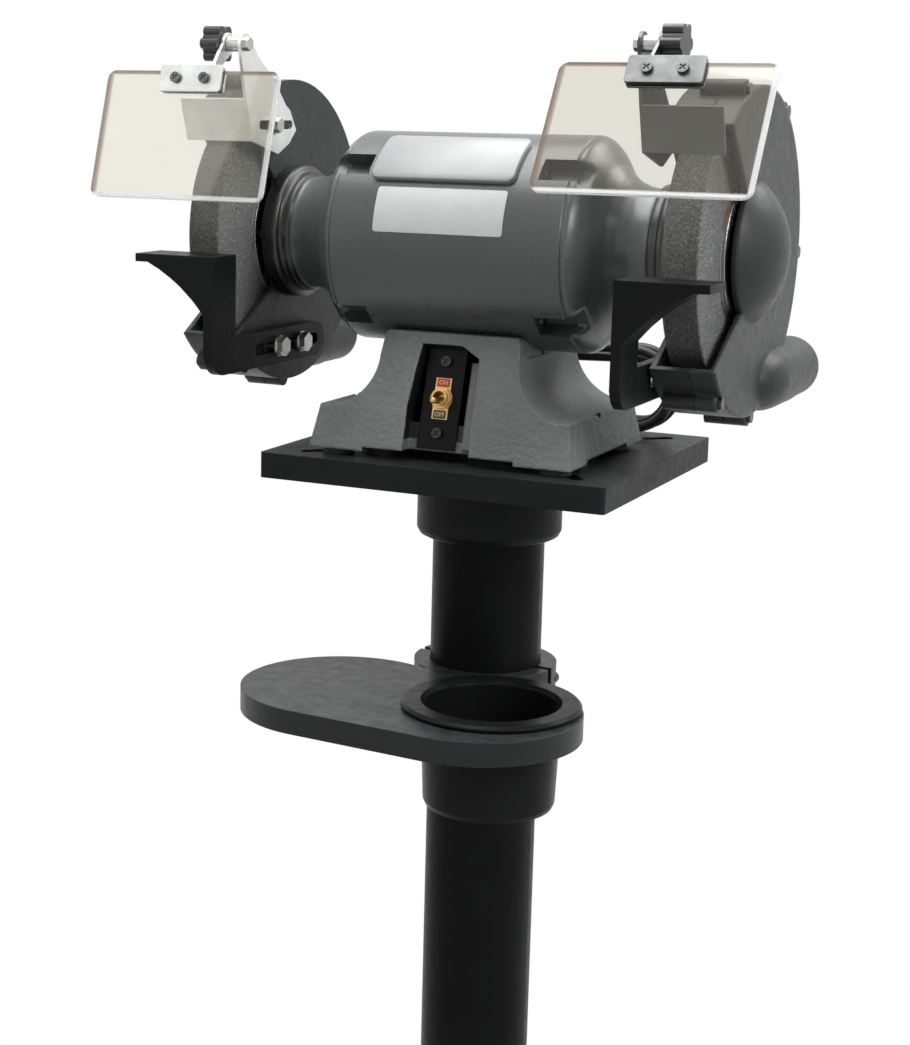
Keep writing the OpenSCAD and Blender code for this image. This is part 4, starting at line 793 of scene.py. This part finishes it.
FLARE_X, FLARE_Z, FLARE_R = 95, 76, 39                # each hollow flank's round, in millimetres
FLARE_WALL = 7
FLARE_SIDES = 128
CUTTER_REACH = 240                                    # right through the casting
WALL_SIZE, WALL_X, WALL_Z = (47, 140, 48), 73, 55     # the block that a flank's wall is cut from
WALL_TOP_SHARE = 0.805                                # its top against its foot, as the casting leans in
CHEEK_SIZE, CHEEK_AT = (10.5, 15.6, 65), (20.25, 8.2, 41.5)   # on the slope, with the round that hollows it
CHEEK_R, CHEEK_ROUND_AT, CHEEK_REACH = 9.6, (15, 0, 38), 120
WELD = 0.000002                                       # corners closer than this are one, in metres


def over_base(x, y, z):
    """A place over the top plate, in millimetres from the grinder's middle."""
    return Vector((x, y + BASE_AT_Y, z)) * MM + Vector((0, 0, PLATE_TOP))


def joined(piece, other, how):
    """One piece cut by another, or grown together with it; the other is used up."""
    only(piece)
    cut = piece.modifiers.new("cut", "BOOLEAN")
    cut.operation = how
    cut.solver = "EXACT"
    cut.object = other
    bpy.ops.object.modifier_apply(modifier=cut.name)
    only(other)
    bpy.ops.object.delete()
    only(piece)


def flare_round(side, radius):
    """The cutter of one hollow flank, a long round through the casting from front to back."""
    return start_round("flare_cutter", radius * MM, CUTTER_REACH * MM,
                       over_base(side * FLARE_X, 0, FLARE_Z), FLARE_SIDES, (math.pi / 2, 0, 0))


def flank_wall(side):
    """The wall behind one hollow flank, kept inside the casting's front and back."""
    wall = start_block("flank_wall", Vector(WALL_SIZE) * MM, over_base(side * WALL_X, 0, WALL_Z))
    pick_faces_up(wall)
    bpy.ops.transform.resize(value=(1, WALL_TOP_SHARE, 1))
    bpy.ops.object.mode_set(mode="OBJECT")
    joined(wall, flare_round(side, FLARE_R + FLARE_WALL), "INTERSECT")
    return wall


def well_cheek():
    """The hollowed cheek from the casting's front into its switch well, right of the switch plate."""
    cheek = start_block("well_cheek", Vector(CHEEK_SIZE) * MM, Vector(CHEEK_AT) * MM)
    cutter = start_round("cheek_cutter", CHEEK_R * MM, CHEEK_REACH * MM, Vector(CHEEK_ROUND_AT) * MM, 96)
    joined(cheek, cutter, "DIFFERENCE")
    carried(cheek, lambda co: on_slope(co.x / MM, co.y / MM, co.z / MM))
    return cheek


def cast_base():
    """The base casting, with its flanks hollowed to a true quarter round."""
    only(nodes_of["grinder_base"])
    bpy.ops.object.duplicate()
    casting = named("base_casting")
    pick_corners(casting)
    bpy.ops.mesh.remove_doubles(threshold=WELD)
    bpy.ops.object.mode_set(mode="OBJECT")
    bpy.ops.object.parent_clear(type="CLEAR_KEEP_TRANSFORM")
    bpy.ops.mesh.customdata_custom_splitnormals_clear()
    settle(casting)
    joined(casting, well_cheek(), "UNION")
    for side in (-1, 1):
        joined(casting, flank_wall(side), "UNION")
        joined(casting, flare_round(side, FLARE_R), "DIFFERENCE")
    return finished(casting, "base", "stand", "grey_base", "grinder_base")


cast_base()

# ------------------------------------------------------------------ bare plates on the motor

PLATE_BANDS = 18              # flat bands that follow the shell's round
PLATE_SUNK = 0.0004           # the plate's back, below the shell's face


def round_corners(sheet, corner, segments):
    """A flat sheet's four corners rounded, and left in edit mode."""
    pick_corners(sheet)
    bpy.ops.mesh.bevel(offset=corner, segments=segments, affect="VERTICES", profile=0.5)


def round_shell(co, x_middle, angle_middle):
    """A flat plate's point laid on the motor shell: its width along the shaft, its height round it."""
    angle = angle_middle - co.y / SHELL_RADIUS
    out = SHELL_RADIUS - PLATE_SUNK + co.z
    return SHAFT + Vector((x_middle + co.x, -math.sin(angle) * out, math.cos(angle) * out))


def motor_plate(name, across, down, thick, corner, rim, finish):
    """A bare plate bent to the shell's front, with round corners and its face's rim rounded or sharp."""
    (x0, x1), (a0, a1) = across, map(math.radians, down)
    height = (a1 - a0) * SHELL_RADIUS
    plate = start_sheet(name, x1 - x0, height)
    round_corners(plate, corner, 6)
    thicken(thick)
    if rim:
        pick_faces_up(plate)
        bpy.ops.mesh.bevel(offset=rim, segments=4, affect="EDGES")
    for k in range(1, PLATE_BANDS):
        bpy.ops.mesh.select_all(action="SELECT")
        bpy.ops.mesh.bisect(plane_co=(0, height * (k / PLATE_BANDS - 0.5), 0), plane_no=(0, 1, 0))
    bpy.ops.object.mode_set(mode="OBJECT")
    carried(plate, lambda co: round_shell(co, (x0 + x1) / 2, (a0 + a1) / 2))
    return finished(plate, finish, "stand", "zinc")


finishes["name_field"] = bare_plate("satin_name_field")
finishes["foil"] = label_foil("pale_foil")
motor_plate("motor_name_plate", (-0.063, 0.050), (22, 55.5), 0.0042, 0.006, 0.0012, "name_field")
motor_plate("motor_rating_label", (-0.055, 0.047), (59.4, 83.9), 0.0008, 0.0022, 0, "foil")

# ------------------------------------------------------------------ the switch's legend

SWITCH_X, SWITCH_UP, LEGEND_FACE = -5.5, 45.8, 9.2    # on the slope, in millimetres
FIELD_WIDE, FIELD_THICK, FIELD_CORNER = 10.4, 0.18, 0.9
FIELD_NEAR, FIELD_FAR = 8.7, 15.1                      # from the nut's middle, above and below it
WORD_AT, WORD_TALL, WORD_THICK, WORD_LIFT = 12.0, 4.6, 0.12, 0.22
LETTER_WELD = 0.000005


def legend_place(co):
    """A point of the flat legend, on the face of its leaning plate."""
    return on_slope(SWITCH_X + co.x / MM, LEGEND_FACE - co.z / MM, SWITCH_UP + co.y / MM)


def legend_field(name, side, finish):
    """An enamelled field of the legend plate, above the nut (1) or below it (-1)."""
    field = start_sheet(name, FIELD_WIDE * MM, (FIELD_FAR - FIELD_NEAR) * MM)
    round_corners(field, FIELD_CORNER * MM, 4)
    thicken(FIELD_THICK * MM)
    bpy.ops.object.mode_set(mode="OBJECT")
    up = side * (FIELD_NEAR + FIELD_FAR) / 2
    carried(field, lambda co: legend_place(co + Vector((0, up, 0)) * MM))
    return finished(field, finish, "stand", "brass")


def legend_word(name, word, side):
    """A raised word on one of the fields."""
    bpy.ops.object.select_all(action="DESELECT")
    bpy.ops.object.text_add(location=(0, 0, 0))
    letters = bpy.context.object
    letters.data.body = word
    letters.data.size = WORD_TALL * MM
    letters.data.extrude = WORD_THICK * MM
    letters.data.align_x = "CENTER"
    letters.data.align_y = "CENTER"
    only(letters)
    bpy.ops.object.convert(target="MESH")
    letters = named(name)
    bpy.ops.object.mode_set(mode="EDIT")
    bpy.ops.mesh.select_all(action="SELECT")
    bpy.ops.mesh.remove_doubles(threshold=LETTER_WELD)
    face_outward()
    bpy.ops.object.mode_set(mode="OBJECT")
    carried(letters, lambda co: legend_place(co + Vector((0, side * WORD_AT, WORD_LIFT)) * MM))
    return finished(letters, "brass", "stand", "brass")


finishes["red"] = enamel("red_enamel", (0.56, 0.018, 0.012))
finishes["dark"] = enamel("dark_enamel", (0.02, 0.018, 0.016))
legend_field("on_field", 1, "red")
legend_field("off_field", -1, "dark")
legend_word("on_word", "ON", 1)
legend_word("off_word", "OFF", -1)

# ------------------------------------------------------------------ lead fittings

SLEEVE_RIBS, RIB_PITCH = 8, 2.05
RIB_FROM, RIB_R, RIB_TAPER, RIB_DEEP = 7.0, 6.5, 0.22, 0.75
SLEEVE_AT = (-31, 34.115, 66)                          # over the plate, in millimetres


def lathe(name, rings, sides):
    """A turned piece on the Z axis from (height, radius) rings in millimetres, closed at both ends."""
    bpy.ops.object.select_all(action="DESELECT")
    (z0, r0), rest = rings[0], rings[1:]
    bpy.ops.mesh.primitive_circle_add(vertices=sides, radius=r0 * MM, fill_type="NGON",
                                      location=(0, 0, z0 * MM))
    piece = named(name)
    settle(piece)
    bpy.ops.object.mode_set(mode="EDIT")
    bpy.ops.mesh.select_all(action="SELECT")
    for z, r in rest:
        bpy.ops.mesh.extrude_region_move(TRANSFORM_OT_translate={"value": (0, 0, (z - z0) * MM)})
        bpy.ops.transform.resize(value=(r / r0, r / r0, 1))
        z0, r0 = z, r
    face_outward()
    bpy.ops.object.mode_set(mode="OBJECT")
    return piece


def strain_relief():
    """The ribbed, tapered sleeve that carries the lead out of the casting's back."""
    rings = [(-9, 5.5), (2.9, 5.8), (3.4, 8.8), (5.4, 9), (6.2, 8.4), (6.4, 6.5)]
    for k in range(SLEEVE_RIBS):
        low, wide = RIB_FROM + RIB_PITCH * k, RIB_R - RIB_TAPER * k
        neck = wide - RIB_DEEP
        rings += [(low, neck), (low + 0.45, neck), (low + 0.65, wide), (low + 1.65, wide), (low + 1.85, neck)]
    rings += [(24.0, 4.6)]
    sleeve = lathe("lead_sleeve", rings, 36)
    root = Vector(SLEEVE_AT) * MM + Vector((0, 0, PLATE_TOP))
    carried(sleeve, lambda co: root + Vector((-co.x, co.z, co.y)))
    return finished(sleeve, "rubber", "stand", "rubber", "cord_strain_relief")


strain_relief()

# ------------------------------------------------------------------ floor, light


def seen_directly(tree):
    """1 for camera, mirror and glass rays, 0 for the light that falls on things."""
    path = tree.nodes.new("ShaderNodeLightPath")
    most = path.outputs["Is Camera Ray"]
    for ray in ("Is Glossy Ray", "Is Transmission Ray"):
        node = tree.nodes.new("ShaderNodeMath")
        node.operation = "MAXIMUM"
        tree.links.new(most, node.inputs[0])
        tree.links.new(path.outputs[ray], node.inputs[1])
        most = node.outputs[0]
    return most


FLOOR_RADIUS = 14
FLOOR_GREY = 0.45
FADE_FROM, FADE_TO = 0.25, 0.6        # the floor's way outward to plain white
NEAR_WHITE = 0.7                      # the share of plain white before it
BACKDROP_SEEN, BACKDROP_LIGHT = 1.0, 0.12


def studio_floor():
    """A white floor that keeps the stand's shadow and fades into the backdrop."""
    bpy.ops.object.select_all(action="DESELECT")
    bpy.ops.mesh.primitive_circle_add(vertices=96, radius=FLOOR_RADIUS, fill_type="NGON", location=(0, 0, 0))
    floor = bpy.context.object
    floor.name = "studio_floor"
    mat = bpy.data.materials.new("pale_floor")
    mat.use_nodes = True
    tree = mat.node_tree
    tree.nodes.clear()
    out = tree.nodes.new("ShaderNodeOutputMaterial")
    plain = tree.nodes.new("ShaderNodeBsdfDiffuse")
    plain.inputs["Color"].default_value = (FLOOR_GREY, FLOOR_GREY, FLOOR_GREY, 1)
    white = tree.nodes.new("ShaderNodeEmission")
    white.inputs["Strength"].default_value = 1.0
    place = tree.nodes.new("ShaderNodeTexCoord")
    reach = tree.nodes.new("ShaderNodeVectorMath")
    reach.operation = "LENGTH"
    tree.links.new(place.outputs["Object"], reach.inputs[0])
    fade = tree.nodes.new("ShaderNodeMapRange")
    tree.links.new(reach.outputs["Value"], fade.inputs[0])
    for socket, number in zip(fade.inputs[1:5], (FADE_FROM, FADE_TO, NEAR_WHITE, 1.0)):
        socket.default_value = number
    share = tree.nodes.new("ShaderNodeMath")
    share.operation = "MULTIPLY"
    tree.links.new(fade.outputs[0], share.inputs[0])
    tree.links.new(seen_directly(tree), share.inputs[1])
    mix = tree.nodes.new("ShaderNodeMixShader")
    tree.links.new(share.outputs[0], mix.inputs[0])
    tree.links.new(plain.outputs[0], mix.inputs[1])
    tree.links.new(white.outputs[0], mix.inputs[2])
    tree.links.new(mix.outputs[0], out.inputs[0])
    floor.data.materials.append(mat)


def studio_world():
    """A backdrop that is seen white and lights the object only a little."""
    world = bpy.data.worlds.new("studio")
    bpy.context.scene.world = world
    world.use_nodes = True
    tree = world.node_tree
    back = tree.nodes["Background"]
    back.inputs["Color"].default_value = (1, 1, 1, 1)
    level = tree.nodes.new("ShaderNodeMapRange")
    tree.links.new(seen_directly(tree), level.inputs[0])
    level.inputs[3].default_value = BACKDROP_LIGHT
    level.inputs[4].default_value = BACKDROP_SEEN
    tree.links.new(level.outputs[0], back.inputs["Strength"])


def lamp(name, at, aim, size, watts):
    """A soft box at one place, aimed at another."""
    bpy.ops.object.light_add(type="AREA", location=at)
    light = bpy.context.object
    light.name = name
    light.data.shape = "RECTANGLE"
    light.data.size, light.data.size_y = size
    light.data.energy = watts
    light.rotation_euler = (Vector(aim) - Vector(at)).to_track_quat("-Z", "Y").to_euler()


studio_floor()
studio_world()
lamp("top_lamp", (-0.25, 0.0, 2.75), (0, -0.05, 0.95), (1.9, 1.3), 56)
lamp("left_lamp", (-1.7, -1.6, 1.7), (0, 0, 0.9), (0.9, 1.2), 7)
lamp("right_lamp", (2.1, -0.8, 2.2), (0.1, 0, 0.9), (0.8, 1.2), 46)
lamp("back_lamp", (1.2, 1.6, 2.5), (0.1, 0, 0.95), (1.2, 0.9), 26)

bpy.context.scene.view_settings.view_transform = "Standard"
